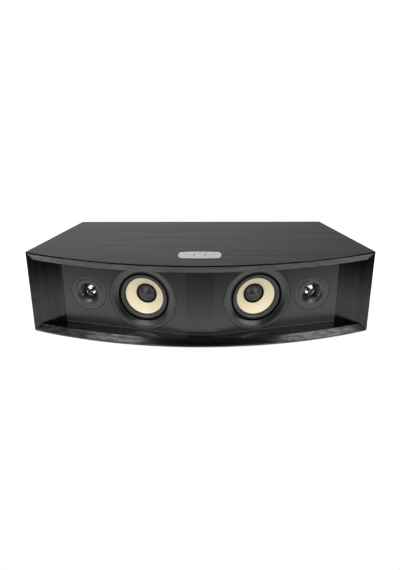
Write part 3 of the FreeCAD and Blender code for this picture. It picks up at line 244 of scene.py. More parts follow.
class SpeakerColours(bpy.types.PropertyGroup):
    """Colours of the finishes and the table"""

    veneer_dark: colour("Veneer dark", "Stained ash in the pores and the dark grain", (0.001, 0.001, 0.0011))
    veneer_light: colour("Veneer light", "Stained ash on the paler grain", (0.0035, 0.0035, 0.0037))
    baffle: colour("Baffle", "Paint of the baffle", (0.010, 0.010, 0.0105))
    back: colour("Back", "Paint of the back panel", (0.012, 0.012, 0.0125))
    bare_board: colour("Bare board", "Bare board of the brace", (0.36, 0.25, 0.15))
    feet: colour("Feet", "Rubber of the feet", (0.012, 0.012, 0.012))
    foam: colour("Foam", "Foam of the woofers' gaskets", (0.02, 0.02, 0.02))
    steel: colour("Black steel", "Lacquered steel of rear plate, screws and baskets", (0.014, 0.014, 0.015))
    socket: colour("Sockets", "Plastic of the sockets and the switch", (0.009, 0.009, 0.0095))
    contact: colour("Contacts", "Plated metal of the inlet's pins", (0.76, 0.72, 0.62))
    circuit: colour("Circuit boards", "Lacquer of the circuit boards", (0.02, 0.12, 0.05))
    sink: colour("Heat sink", "Metal of the heat sink", (0.32, 0.32, 0.33))
    port: colour("Ports", "Plastic of the port tubes", (0.010, 0.010, 0.0105))
    trim: colour("Trim", "Plastic of the trim rings", (0.010, 0.010, 0.011))
    rubber: colour("Rubber", "Rubber of the surrounds", (0.028, 0.028, 0.029))
    cone: colour("Cone", "Fibre of the cones", (0.90, 0.79, 0.57))
    # painted shade: darker colour of the cone fibre in the hollows between its rings
    cone_painted_shade: colour("Cone shade", "Hollows between the rings of the cones", (0.78, 0.64, 0.41))
    cap: colour("Dust cap", "Dust caps", (0.023, 0.023, 0.0245))
    # glue, painted near black also as shade: the shadow in the groove round each dust cap and in the gap
    # outside each surround
    glue: colour("Glue", "Glue round the dust caps and the surrounds", (0.003, 0.003, 0.003))
    coil: colour("Coils", "Copper of the voice coils", (0.5, 0.27, 0.14))
    spider: colour("Spiders", "Cloth of the spiders", (0.5, 0.36, 0.15))
    motor: colour("Motors", "Steel of the motors", (0.5, 0.5, 0.51))
    ferrite: colour("Magnets", "Ferrite of the magnets", (0.03, 0.03, 0.032))
    guard: colour("Guards", "Plastic of the guards in front of the domes", (0.004, 0.004, 0.004))
    waveguide: colour("Waveguide", "Faceplates of the tweeters", (0.024, 0.024, 0.025))
    dome: colour("Dome", "Metal of the domes", (0.86, 0.86, 0.88))
    touch_rim: colour("Touch rim", "Metal round the touch panel", (0.85, 0.86, 0.88))
    touch_face: colour("Touch face", "Touch panel", (0.63, 0.635, 0.645))
    touch_mark: colour("Touch marks", "Marks in the touch panel", (0.008, 0.008, 0.008))
    table: colour("Table", "Pale table top", (0.86, 0.86, 0.86))


class SpeakerStage(bpy.types.PropertyGroup):
    """Camera, table and lights"""

    camera_place: place("Camera", "Place of the camera", (0.0140, -1.1731, 0.6223))
    camera_yaw: angle("Camera yaw", "Turn of the camera about the vertical", 0.723)
    camera_pitch: angle("Camera pitch", "Downward tilt of the camera", 24.917)
    camera_roll: angle("Camera roll", "Turn of the camera about its line of sight", -0.324)
    lens: FloatProperty(name="Lens", description="Focal length", default=41.149, unit="CAMERA")
    table_front: length("Table front", "Front edge of the pale table", -0.4)
    table_fade: length("Table fade", "Length over which the table falls into the dark at the front", 0.25)
    table_back: length("Table back", "Back edge of the pale table", 0.9)
    table_half: length("Table half width", "Half the width of the pale table", 0.5)
    overhead: power("Overhead", "Power of the overhead softbox", 5.5)
    tops: power("Upper sides", "Power of each lamp that is seen in glossy pieces from above the sides", 22.0)
    left: power("Left", "Power of the left softbox", 7.4)
    wash: power("Left wash", "Power of the wash beside the left softbox", 1.6)
    right: power("Right", "Power of the right softbox", 7.6)
    key: power("Key", "Power of the softbox over the camera", 5.6)
    fill: strength("Fill", "Strength of the even fill", 0.36)
    glow: strength("Table glow", "Added white of the table where it is seen", 0.65)
    sheen: strength("Table sheen", "Added white of the table in reflections", 0.9)
    backdrop: strength("Backdrop", "Strength of the backdrop in reflections", 0.6)
    shade: strength("Shade", "Strength of the dark front in reflections", 0.015)


def sizes():
    return bpy.context.scene.speaker_sizes


def colours():
    return bpy.context.scene.speaker_colours


def facet(centre, side):
    """Frame of a driver: X along the facet, Y up and Z out of the baffle."""
    yaw = side * sizes().facet_yaw
    turn = Matrix(
        ((math.cos(yaw), 0, math.sin(yaw)), (math.sin(yaw), 0, -math.cos(yaw)), (0, 1, 0))
    ).to_4x4()
    return Matrix.Translation((side * centre[0], centre[1], centre[2])) @ turn


def woofer_frame(side):
    return facet(sizes().woofer_centre, side)


def tweeter_frame(side):
    return facet(sizes().tweeter_centre, side)


# Meshes


def mesh_of(bm, name):
    """Mesh of a finished bmesh, which is freed."""
    mesh = bpy.data.meshes.new(name)
    bm.to_mesh(mesh)
    bm.free()
    return mesh


def linked(name, data):
    """Object in the scene for a mesh, a lamp or a camera."""
    obj = bpy.data.objects.new(name, data)
    bpy.context.scene.collection.objects.link(obj)
    return obj


def settle(bm, node, finishes, sharp=SHARP):
    """Makes an object of a bmesh that stands for a CAD node, with the given finishes, and hides the node."""
    name = node + "_finished"
    for face in bm.faces:
        face.smooth = True
    mesh = mesh_of(bm, name)
    if "custom_normal" in mesh.attributes:
        mesh.attributes.remove(mesh.attributes["custom_normal"])
    mesh.set_sharp_from_angle(angle=sharp)
    for finish in finishes:
        mesh.materials.append(bpy.data.materials[finish])
    obj = linked(name, mesh)
    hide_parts(node)
    return obj


def even_normals(obj):
    """Lets the broad faces keep their flat shading beside eased edges."""
    modifier = obj.modifiers.new("even_normals", "WEIGHTED_NORMAL")
    modifier.keep_sharp = True


def merged(node):
    """Welded copy of a CAD node, with its flat faces whole again."""
    bm = bmesh.new()
    bm.from_mesh(frame["nodes"][node].data)
    bmesh.ops.remove_doubles(bm, verts=bm.verts, dist=WELD)
    bmesh.ops.dissolve_limit(bm, angle_limit=FLAT, verts=bm.verts, edges=bm.edges)
    return bm


def hidden_joint(face):
    """A mitre between two boards, which shows no eased edge."""
    low, high = MITRE_TILT
    return low < abs(face.normal.z) < high


def ease(bm, width):
    """Rounds the sharp edges, apart from those of a hidden joint."""
    edges = [
        edge
        for edge in bm.edges
        if edge.is_manifold
        and edge.calc_face_angle() > SHARP
        and not any(hidden_joint(face) for face in edge.link_faces)
    ]
    bmesh.ops.bevel(
        bm,
        geom=edges,
        offset=width,
        offset_type="OFFSET",
        segments=EASE_STEPS,
        profile=0.5,
        affect="EDGES",
        clamp_overlap=True,
        material=-1,
    )


def keep_inside(bm, node):
    """Brings points that an eased edge pushed out back into the box of the CAD node."""
    low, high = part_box(node)
    for vert in bm.verts:
        vert.co = [min(max(value, least), most) for value, least, most in zip(vert.co, low, high)]


def finish_node(node, finish, width=0.0, sharp=SHARP, upper=None):
    """Copy of a CAD node with smooth curves. A width eases its edges, and an upper finish covers its top."""
    bm = merged(node)
    if width:
        ease(bm, width)
        keep_inside(bm, node)
    if upper:
        bm.normal_update()
        for face in bm.faces:
            face.material_index = int(face.normal.z > FACES_UP)
    obj = settle(bm, node, [finish, upper] if upper else [finish], sharp)
    even_normals(obj)
    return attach(obj, BODY_OF[node])


def tip_of(result):
    """Last point that a spin made."""
    return next(item for item in result["geom_last"] if isinstance(item, bmesh.types.BMVert))


def section(bm, start, *moves):
    """Line of points to be turned, with its two ends given back.

    A move is a point as (radius, height), or an arc as (centre's radius, centre's height, degrees, steps).
    """
    tip = bm.verts.new((start[0], 0, start[1]))
    first = tip
    for move in moves:
        if len(move) == 2:
            corner = bm.verts.new((move[0], 0, move[1]))
            bm.edges.new((tip, corner))
            tip = corner
        else:
            tip = tip_of(
                bmesh.ops.spin(
                    bm,
                    geom=[tip],
                    cent=(move[0], 0, move[1]),
                    axis=(0, -1, 0),
                    angle=math.radians(move[2]),
                    steps=move[3],
                )
            )
    return first, tip


def close(bm, ends):
    """Joins the ends of a section."""
    bm.edges.new((ends[1], ends[0]))


def through(start, middle, end, steps):
    """Arc move from a start through a middle to an end."""
    (ax, ay), (bx, by), (cx, cy) = start, middle, end
    scale = 2 * (ax * (by - cy) + bx * (cy - ay) + cx * (ay - by))
    a, b, c = ax * ax + ay * ay, bx * bx + by * by, cx * cx + cy * cy
    x = (a * (by - cy) + b * (cy - ay) + c * (ay - by)) / scale
    y = (a * (cx - bx) + b * (ax - cx) + c * (bx - ax)) / scale
    first = math.atan2(ay - y, ax - x)
    last = math.atan2(cy - y, cx - x)
    sweep = (last - first) % TURN
    if scale < 0:
        sweep -= TURN
    return x, y, math.degrees(sweep), steps


def ball(foot, top):
    """Foot, shoulder and top of a dome on the axis."""
    radius, low = foot
    rise = top - low
    big = (radius**2 + rise**2) / (2 * rise)
    return foot, (radius / 2, top - big + math.sqrt(big**2 - radius**2 / 4)), (0.0, top)


def turn(bm, steps):
    """Spins the section into a closed body of revolution about its Z axis."""
    bmesh.ops.spin(
        bm,
        geom=bm.verts[:] + bm.edges[:],
        cent=(0, 0, 0),
        axis=(0, 0, 1),
        angle=TURN,
        steps=steps,
        use_merge=True,
    )
    bmesh.ops.remove_doubles(bm, verts=bm.verts, dist=WELD)
    bmesh.ops.dissolve_degenerate(bm, edges=bm.edges, dist=WELD)
    bmesh.ops.recalc_face_normals(bm, faces=bm.faces)


def put(bm, matrix):
    """Brings a bmesh to its place."""
    bmesh.ops.transform(bm, matrix=matrix, verts=bm.verts)


def turned_node(node, finishes, matrix, ends_of, second_from=None):
    """Turned piece that stands for a CAD node. Faces beyond a radius take the second finish."""
    bm = bmesh.new()
    close(bm, ends_of(bm))
    turn(bm, sizes().round_steps)
    if second_from:
        for face in bm.faces:
            if face.calc_center_median().xy.length > second_from:
                face.material_index = 1
    put(bm, matrix)
    return settle(bm, node, finishes)


# Finishes


def add(tree, kind, **values):
    """New shader node of a kind."""
    node = tree.nodes.new("ShaderNode" + kind)
    for key, value in values.items():
        setattr(node, key, value)
    return node


def wire(tree, source, target):
    tree.links.new(source, target)


def math_node(tree, operation, first, second=None, third=None):
    """Result of an operation on up to three numbers or sockets."""
    node = add(tree, "Math", operation=operation)
    for socket, value in zip(node.inputs, (first, second, third)):
        if isinstance(value, (int, float)):
            socket.default_value = value
        elif value is not None:
            wire(tree, value, socket)
    return node.outputs[0]


def noise(tree, vector, scale, detail=2.0, distortion=0.0):
    """Cloudy value over a vector that is stretched by a scale for each axis."""
    stretch = add(tree, "Mapping")
    stretch.inputs["Scale"].default_value = scale
    wire(tree, vector, stretch.inputs["Vector"])
    cloud = add(tree, "TexNoise")
    cloud.inputs["Scale"].default_value = 1.0
    cloud.inputs["Detail"].default_value = detail
    cloud.inputs["Distortion"].default_value = distortion
    wire(tree, stretch.outputs["Vector"], cloud.inputs["Vector"])
    return cloud.outputs["Fac"]


def span(tree, value, low, high, to_low=0.0, to_high=1.0):
    """Value that goes softly from one number to another between two bounds."""
    node = add(tree, "MapRange", interpolation_type="SMOOTHSTEP")
    wire(tree, value, node.inputs["Value"])
    for key, number in zip(("From Min", "From Max", "To Min", "To Max"), (low, high, to_low, to_high)):
        node.inputs[key].default_value = number
    return node.outputs["Result"]


def new_group(name, inputs, outputs):
    """Shader group with its inputs, as (name, kind, default), and its outputs."""
    tree = bpy.data.node_groups.new(name, "ShaderNodeTree")
    for title, kind, default in inputs:
        socket = tree.interface.new_socket(title, in_out="INPUT", socket_type=kind)
        if default is not None:
            socket.default_value = default
    for title in outputs:
        tree.interface.new_socket(title, in_out="OUTPUT", socket_type="NodeSocketFloat")
    return tree, tree.nodes.new("NodeGroupInput"), tree.nodes.new("NodeGroupOutput")


def make_groups():
    """Shader groups for the grain of the veneer, the skins of other pieces and the rings on turned ones."""
    tree, into, out = new_group(
        "ash_grain", [("Vector", "NodeSocketVector", None)], [*ASH_LAYERS, "Height"]
    )
    layers = {}
    for title, (cycles, detail, bend, low, high) in ASH_LAYERS.items():
        cloud = noise(tree, into.outputs["Vector"], cycles, detail, bend)
        layers[title] = span(tree, cloud, low, high)
    layers["Height"] = math_node(tree, "MULTIPLY_ADD", layers["Pores"], -PORE_DEPTH, layers["Streaks"])
    for title, value in layers.items():
        wire(tree, value, out.inputs[title])

    tree, into, out = new_group(
        "fine_mottle",
        [("Vector", "NodeSocketVector", None), ("Fineness", "NodeSocketFloat", SKIN_FINENESS)],
        ["Shade", "Height"],
    )
    scaled = add(tree, "VectorMath", operation="SCALE")
    wire(tree, into.outputs["Vector"], scaled.inputs[0])
    wire(tree, into.outputs["Fineness"], scaled.inputs["Scale"])
    patches = noise(tree, scaled.outputs[0], SKIN_PATCH, detail=3.0)
    wire(tree, span(tree, patches, *SKIN_BAND), out.inputs["Shade"])
    wire(tree, noise(tree, scaled.outputs[0], (1, 1, 1)), out.inputs["Height"])

    tree, into, out = new_group(
        "ring_lines",
        [("Vector", "NodeSocketVector", None), ("Pitch", "NodeSocketFloat", RING_PITCH)],
        ["Lines"],
    )
    flat = add(tree, "VectorMath", operation="MULTIPLY")
    flat.inputs[1].default_value = (1, 1, 0)
    wire(tree, into.outputs["Vector"], flat.inputs[0])
    radius = add(tree, "VectorMath", operation="LENGTH")
    wire(tree, flat.outputs[0], radius.inputs[0])
    phase = math_node(tree, "DIVIDE", radius.outputs["Value"], into.outputs["Pitch"])
    wave = math_node(tree, "SINE", math_node(tree, "MULTIPLY", phase, TURN))
    wire(tree, math_node(tree, "MULTIPLY_ADD", wave, 0.5, 0.5), out.inputs["Lines"])


def start_finish(name, roughness, **plain):
    """Material whose uniform values sit on the shader itself. The frame brings a plain one for each slot."""
    material = bpy.data.materials.get(name) or bpy.data.materials.new(name)
    material.use_nodes = True
    tree = material.node_tree
    shader = tree.nodes["Principled BSDF"]
    shader.inputs["Roughness"].default_value = roughness
    for key, value in plain.items():
        shader.inputs[key.replace("_", " ")].default_value = value
    return tree, shader


def own_coordinates(tree, matrix=None):
    """Object coordinates, turned and centred on a frame where one is given."""
    source = add(tree, "TexCoord").outputs["Object"]
    if matrix is None:
        return source
    centred = add(tree, "Mapping", vector_type="TEXTURE")
    centred.inputs["Location"].default_value = matrix.to_translation()
    centred.inputs["Rotation"].default_value = matrix.to_euler()
    wire(tree, source, centred.inputs["Vector"])
    return centred.outputs["Vector"]


def use_group(tree, name, vector, **values):
    """Places a shader group with its own values, and gives its outputs."""
    node = add(tree, "Group", node_tree=bpy.data.node_groups[name])
    wire(tree, vector, node.inputs["Vector"])
    for key, value in values.items():
        node.inputs[key].default_value = value
    return node.outputs


def mixed(tree, amount, first, second):
    """Colour between two, each a socket or an RGB value."""
    node = add(tree, "Mix", data_type="RGBA")
    wire(tree, amount, node.inputs["Factor"])
    for socket, value in zip(node.inputs[6:8], (first, second)):
        if isinstance(value, bpy.types.NodeSocket):
            wire(tree, value, socket)
        else:
            socket.default_value = (*value, 1)
    return node.outputs[2]


def relief(tree, shader, height, depth, strength=1.0):
    """Bumps of a depth, in the shader's normal."""
    node = add(tree, "Bump")
    node.inputs["Distance"].default_value = depth
    node.inputs["Strength"].default_value = strength
    wire(tree, height, node.inputs["Height"])
    wire(tree, node.outputs["Normal"], shader.inputs["Normal"])


def shaded(rgb, factor):
    return tuple(min(1.0, channel * factor) for channel in rgb)


def veneer(name, matrix, gloss=0.5, figure=0.6, roughness=0.18):
    """Black stained ash under satin lacquer, with its grain along the X axis of a frame.

    The gloss is split between an even part and the lacquer, which shows the figure of the grain.
    """
    even = (1 - EVEN_LOSS * figure) * gloss
    tree, shader = start_finish(name, roughness, Specular_IOR_Level=even, Coat_Roughness=roughness)
    grain = use_group(tree, "ash_grain", own_coordinates(tree, matrix))
    amount = math_node(tree, "MULTIPLY", grain["Streaks"], STREAK_SHARE)
    amount = math_node(tree, "MULTIPLY_ADD", grain["Figure"], 1 - STREAK_SHARE, amount)
    amount = math_node(tree, "MULTIPLY", amount, math_node(tree, "SUBTRACT", 1.0, grain["Pores"]))
    shade = mixed(tree, amount, colours().veneer_dark, colours().veneer_light)
    wire(tree, shade, shader.inputs["Base Color"])
    least = roughness - STREAK_ROUGHNESS / 2
    rough = math_node(tree, "MULTIPLY_ADD", grain["Streaks"], STREAK_ROUGHNESS, least)
    wire(tree, rough, shader.inputs["Roughness"])
    lacquer = math_node(tree, "MULTIPLY", amount, LACQUER_GAIN * figure * gloss)
    wire(tree, lacquer, shader.inputs["Coat Weight"])
    relief(tree, shader, grain["Height"], GRAIN_DEPTH)


def mottled(
    name, rgb, roughness, fineness=SKIN_FINENESS, depth=SKIN_DEPTH, spread=SKIN_SPREAD, foot=None, **plain
):
    """Paint, plastic, rubber or metal: a fine skin with a slight change of shade and gloss.

    A foot is the height up to which a painted board shows a painted highlight: a paler line along its foot.
    """
    tree, shader = start_finish(name, roughness, **plain)
    source = own_coordinates(tree)
    mottle = use_group(tree, "fine_mottle", source, Fineness=fineness)
    shade = mixed(tree, mottle["Shade"], shaded(rgb, 1 - spread), shaded(rgb, 1 + spread))
    if foot is not None:
        split = add(tree, "SeparateXYZ")
        wire(tree, source, split.inputs[0])
        # painted highlight: paler paint from the board's foot up to the given height
        line = span(tree, split.outputs["Z"], foot - FOOT_HIGHLIGHT_BLUR, foot + FOOT_HIGHLIGHT_BLUR, 1.0, 0.0)
        shade = mixed(tree, line, shade, shaded(rgb, FOOT_HIGHLIGHT_LIFT))
    wire(tree, shade, shader.inputs["Base Color"])
    change = SKIN_GLOSS * roughness
    rough = math_node(tree, "MULTIPLY_ADD", mottle["Shade"], change, roughness - change / 2)
    wire(tree, rough, shader.inputs["Roughness"])
    relief(tree, shader, mottle["Height"], depth, SKIN_STRENGTH)


def ringed(name, rgb, hollow, roughness, matrix, pitch, depth, **plain):
    """Surface with fine rings about the axis of a driver, with painted shade: a darker colour in the hollows
    between the rings.
    """
    tree, shader = start_finish(name, roughness, **plain)
    vector = own_coordinates(tree, matrix)
    rings = use_group(tree, "ring_lines", vector, Pitch=pitch)
    mottle = use_group(tree, "fine_mottle", vector, Fineness=RING_FINENESS)
    even = 1 - RING_SHADE - RING_MOTTLE
    amount = math_node(tree, "MULTIPLY_ADD", rings["Lines"], RING_SHADE, even)
    amount = math_node(tree, "MULTIPLY_ADD", mottle["Shade"], RING_MOTTLE, amount)
    # painted shade: the hollow colour goes where the rings are low
    wire(tree, mixed(tree, amount, hollow, rgb), shader.inputs["Base Color"])
    rough = math_node(tree, "MULTIPLY_ADD", mottle["Height"], RING_ROUGHNESS, roughness)
    wire(tree, rough, shader.inputs["Roughness"])
    height = math_node(tree, "MULTIPLY_ADD", mottle["Height"], RING_GRIT, rings["Lines"])
    relief(tree, shader, height, depth, SKIN_STRENGTH)


def make_finishes():
    """Materials of all pieces. Those named for a slot also go on the CAD nodes of that slot."""
    tint = colours()
    make_groups()
    along_x = Matrix.Identity(4)
    upright = Matrix.Rotation(RIGHT_ANGLE, 4, "Y")
    veneer("ash_veneer", along_x)
    veneer("ash_veneer_foot", along_x, gloss=0.48, figure=1.5)
    veneer("ash_veneer_top", along_x, gloss=0.55, figure=0.5, roughness=0.32)
    veneer("ash_veneer_upright", upright, gloss=UPRIGHT_GLOSS, figure=0.25)
    for side, sign in SIDES:
        run = Matrix.Rotation(RIGHT_ANGLE + sign * sizes().side_splay, 4, "Z")
        veneer(side + "_ash_veneer", run, gloss=UPRIGHT_GLOSS)
        # Each ringed finish paints shade into the hollows between its rings with its darker hollow colour.
        ringed(
            side + "_cone_fibre",
            tint.cone,
            hollow=tint.cone_painted_shade,
            roughness=0.5,
            matrix=woofer_frame(sign),
            pitch=1.7 * MM,
            depth=0.05 * MM,
        )
        ringed(
            side + "_dome_metal",
            tint.dome,
            hollow=shaded(tint.dome, 0.9),
            roughness=0.12,
            matrix=tweeter_frame(sign),
            pitch=0.5 * MM,
            depth=0.002 * MM,
            Metallic=1.0,
        )
        ringed(
            side + "_trim_plastic",
            tint.trim,
            hollow=shaded(tint.trim, 0.8),
            roughness=0.19,
            matrix=woofer_frame(sign),
            pitch=0.8 * MM,
            depth=0.002 * MM,
            Specular_IOR_Level=0.58,
        )
    mottled("back_paint", tint.back, roughness=0.6)
    mottled(
        "baffle_paint",
        tint.baffle,
        roughness=0.31,
        fineness=1400.0,
        depth=0.004 * MM,
        spread=0.05,
        # painted highlight along the foot of the baffle
        foot=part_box("front_baffle")[0].z + FOOT_HIGHLIGHT_HEIGHT,
        Specular_IOR_Level=0.54,
    )
    mottled("bare_board", tint.bare_board, roughness=0.75, fineness=500.0, depth=0.05 * MM)
    mottled("foot_rubber", tint.feet, roughness=0.7)
    mottled("seal_foam", tint.foam, roughness=0.9, fineness=700.0, depth=0.2 * MM)
    mottled("black_steel", tint.steel, roughness=0.5, fineness=1500.0, depth=0.03 * MM)
    mottled("socket_plastic", tint.socket, roughness=0.42)
    mottled("contact_metal", tint.contact, roughness=0.25, depth=0.005 * MM, spread=0.06, Metallic=1.0)
    mottled("circuit_board", tint.circuit, roughness=0.4, fineness=300.0)
    mottled("sink_metal", tint.sink, roughness=0.4, spread=0.1, Metallic=1.0)
    touch = {"fineness": 2200.0, "depth": 0.004 * MM, "spread": 0.05}
    mottled("touch_rim", tint.touch_rim, roughness=0.3, **touch, Metallic=0.5)
    mottled("touch_face", tint.touch_face, roughness=0.38, **touch)
    mottled("touch_mark", tint.touch_mark, roughness=0.5)
    mottled("port_plastic", tint.port, roughness=0.45)
    mottled("trim_plastic", tint.trim, roughness=0.36)
    mottled("surround_rubber", tint.rubber, roughness=0.42, fineness=1300.0, depth=0.01 * MM, spread=0.12)
    mottled("cone_fibre", tint.cone, roughness=0.5)
    moulded = {"fineness": 1500.0, "depth": 0.01 * MM, "spread": 0.1}
    mottled("cap_plastic", tint.cap, roughness=0.32, **moulded)
    # glue round the dust caps, painted near black also as the shadow in the gaps round the caps and outside
    # the surrounds
    mottled("glue_bead", tint.glue, roughness=0.7, Specular_IOR_Level=0.05)
    mottled("coil_metal", tint.coil, roughness=0.35, depth=0.01 * MM, spread=0.2, Metallic=1.0)
    mottled("spider_cloth", tint.spider, roughness=0.85, fineness=1200.0, depth=0.1 * MM)
    mottled("motor_steel", tint.motor, roughness=0.35, depth=0.01 * MM, spread=0.1, Metallic=1.0)
    mottled("ferrite", tint.ferrite, roughness=0.6, fineness=800.0, depth=0.05 * MM)
    mottled("waveguide_plastic", tint.waveguide, roughness=0.26, **moulded)
    mottled("dome_metal", tint.dome, roughness=0.12, depth=0.002 * MM, spread=0.04, Metallic=1.0)
    mottled("guard_plastic", tint.guard, roughness=0.4, Specular_IOR_Level=0.3)


# Pieces


class SPEAKER_OT_inner_works(bpy.types.Operator):
    """Make the finishes and give each CAD node the one of its slot"""

    bl_idname = "speaker.inner_works"
    bl_label = "Finishes and inner works"

    def execute(self, context):
        make_finishes()
        for node, obj in frame["nodes"].items():
            obj.data.materials.clear()
            obj.data.materials.append(bpy.data.materials[SLOT_OF[node]])
        return {"FINISHED"}


class SPEAKER_OT_cabinet(bpy.types.Operator):
    """Veneer the boards of the cabinet and ease their exposed edges"""

    bl_idname = "speaker.cabinet"
    bl_label = "Cabinet boards"

    def execute(self, context):
        width = sizes().board_ease
        finish_node("top_panel", "ash_veneer", width, BOARD_SHARP, "ash_veneer_top")
        finish_node("bottom_panel", "ash_veneer_foot", width, BOARD_SHARP)
        for side, _ in SIDES:
            finish_node(side + "_side_panel", side + "_ash_veneer", width, BOARD_SHARP)
            finish_node(side + "_wing_panel", "ash_veneer_upright")
        finish_node("front_baffle", "baffle_paint", sharp=FACET_SHARP)
        finish_node("back_panel", "back_paint", width)
        return {"FINISHED"}


class SPEAKER_OT_trim_rings(bpy.types.Operator):
    """Turn the dished trim rings of the woofers"""

    bl_idname = "speaker.trim_rings"
    bl_label = "Trim rings"

    def execute(self, context):
        for side, sign in SIDES:
            node = side + "_woofer_trim_ring"
            obj = turned_node(node, [side + "_trim_plastic"], woofer_frame(sign), self.profile)
            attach(obj, ROOT)
        return {"FINISHED"}

    def profile(self, bm):
        """Section of a trim ring."""
        size = sizes()
        edge, lip = size.trim_edge, size.trim_lip
        return section(
            bm,
            (size.trim_inner, -size.trim_depth),
            (size.trim_radius, -size.trim_depth),
            (size.trim_radius, -edge),
            (size.trim_radius - edge, -edge, math.degrees(RIGHT_ANGLE), TRIM_EDGE_STEPS),
            (size.trim_inner + lip, -size.trim_dish),
            (size.trim_inner, -size.trim_dish - lip),
        )


class SPEAKER_OT_surrounds(bpy.types.Operator):
    """Turn the rubber surrounds and free the spiders, which bend between the cabinet and the cones"""

    bl_idname = "speaker.surrounds"
    bl_label = "Surrounds and spiders"

    def execute(self, context):
        size = sizes()
        for side, sign in SIDES:
            matrix = woofer_frame(sign)
            # The surround's flat outer lip takes the glue finish: painted shadow of the gap under the trim
            # ring.
            surround = turned_node(
                side + "_woofer_surround",
                ["surround_rubber", "glue_bead"],
                matrix,
                self.profile,
                size.roll_outer - size.skin,
            )
            self.bend(surround, side, matrix, size.roll_outer, size.roll_inner)
            node = side + "_woofer_spider"
            spider = settle(merged(node), node, ["spider_cloth"])
            self.bend(spider, side, matrix, size.spider_outer, size.spider_inner)
        return {"FINISHED"}

    def profile(self, bm):
        """Section of a half-roll surround."""
        size = sizes()
        high, low, skin = -size.seat_depth, -size.cone_depth, size.skin
        middle = (size.roll_inner + size.roll_outer) / 2
        crest = (low + high) / 2 + size.roll_rise
        top = ((size.roll_outer, high + skin), (middle, crest + skin), (size.roll_inner, low + skin))
        under = ((size.roll_inner, low), (middle, crest), (size.roll_outer, high))
        return section(
            bm,
            (size.seat_radius, high),
            (size.seat_radius, high + skin),
            top[0],
            through(*top, ROLL_STEPS),
            (size.cone_radius, low + skin),
            (size.cone_radius, low),
            under[0],
            through(*under, ROLL_STEPS),
        )

    def bend(self, obj, side, matrix, outer, inner):
        """Lets a ring follow the cabinet from its outer radius on, and the cone within its inner one."""
        ends = [matrix @ Vector((radius, 0, 0)) for radius in (outer, inner)]
        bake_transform(obj, ROOT, side + "_cone", start=ends[0], end=ends[1])
        inverse = matrix.inverted()
        weights = obj.data.attributes["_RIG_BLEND"].data
        for vertex, weight in zip(obj.data.vertices, weights):
            radius = (inverse @ vertex.co).xy.length
            part = min(1.0, max(0.0, (outer - radius) / (outer - inner)))
            weight.value = part * part * (3 - 2 * part)


class SPEAKER_OT_cones(bpy.types.Operator):
    """Turn the ribbed cones and the dust caps with their glue beads"""

    bl_idname = "speaker.cones"
    bl_label = "Cones and dust caps"
    # Turn the ribbed cones and the dust caps with their glue beads, whose near-black colour is also painted
    # shade in the groove round each cap

    def execute(self, context):
        size = sizes()
        for side, sign in SIDES:
            matrix = woofer_frame(sign)
            cone = turned_node(side + "_woofer_cone", [side + "_cone_fibre"], matrix, self.cone_profile)
            cap = turned_node(
                side + "_woofer_dust_cap",
                ["cap_plastic", "glue_bead"],
                matrix,
                self.cap_profile,
                size.cap_radius - size.cap_rim,
            )
            for obj in (cone, cap):
                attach(obj, side + "_cone")
        return {"FINISHED"}

    def face(self, radius):
        """Height of the cone's face at a radius."""
        size = sizes()
        return -size.cone_depth - (size.cone_radius - radius) * math.tan(size.cone_slope)

    def cone_profile(self, bm):
        """Section of a cone, with its pressed ribs."""
        size = sizes()
        lip = size.roll_inner
        back = size.cone_skin / math.cos(size.cone_slope)
        rise = size.rib_rise
        inner, outer = size.cap_radius, size.cone_radius
        front = [(size.cone_bore, self.face(size.cone_bore)), (inner, self.face(inner))]
        pitch = (outer - inner) / (size.cone_ribs + 1)
        for k in range(size.cone_ribs):
            crest = inner + pitch * (k + 1)
            for shift, lift in ((-RIB_FOOT, 0.0), (-RIB_CREST, rise), (RIB_CREST, rise), (RIB_FOOT, 0.0)):
                radius = crest + shift * pitch
                front.append((radius, self.face(radius) + lift))
        edge = self.face(outer)
        return section(
            bm,
            *front,
            (outer, edge),
            (lip, edge),
            (lip, edge - size.cone_skin),
            (outer, edge - back),
            (size.cone_bore, self.face(size.cone_bore) - back),
        )

    def cap_profile(self, bm):
        """Section of a hollow dust cap, with the rim that is glued to the cone."""
        size = sizes()
        gap, skin = size.cap_gap, size.cap_skin
        wall = skin / math.cos(size.cone_slope)
        rim = size.cap_radius
        dome = rim - size.cap_rim
        top = self.face(rim) + gap + size.cap_rise
        crown = ball((dome, self.face(dome) + gap + wall), top)
        hollow = ball((dome - skin, self.face(dome - skin) + gap), top - skin)
        return section(
            bm,
            (rim, self.face(rim) + gap),
            (rim, self.face(rim) + gap + wall),
            crown[0],
            through(*crown, CAP_STEPS),
            hollow[2],
            through(*reversed(hollow), CAP_HOLLOW_STEPS),
        )


class SPEAKER_OT_tweeters(bpy.types.Operator):
    """Turn the domes of the tweeters and finish their faceplates and guards"""

    bl_idname = "speaker.tweeters"
    bl_label = "Tweeters"

    def execute(self, context):
        for side, sign in SIDES:
            matrix = tweeter_frame(sign)
            dome = turned_node(
                side + "_tweeter_diaphragm",
                [side + "_dome_metal", "guard_plastic"],
                matrix,
                self.dome_profile,
                sizes().dome_radius,
            )
            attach(dome, ROOT)
            finish_node(side + "_tweeter_faceplate", "waveguide_plastic")
            finish_node(side + "_tweeter_guard", "guard_plastic", sizes().fine_ease)
        return {"FINISHED"}

    def dome_profile(self, bm):
        """Section of a dome, with its rolled edge and its flange."""
        size = sizes()
        foot = -size.dome_foot
        rim, roll = size.dome_radius, size.dome_radius + size.dome_edge
        edge = ((roll, foot), ((rim + roll) / 2, foot + size.dome_roll), (rim, foot))
        return section(
            bm,
            (0.0, foot - size.flange),
            (size.flange_radius, foot - size.flange),
            (size.flange_radius, foot),
            edge[0],
            through(*edge, DOME_EDGE_STEPS),
            through(*ball((rim, foot), foot + size.dome_rise), DOME_STEPS),
        )


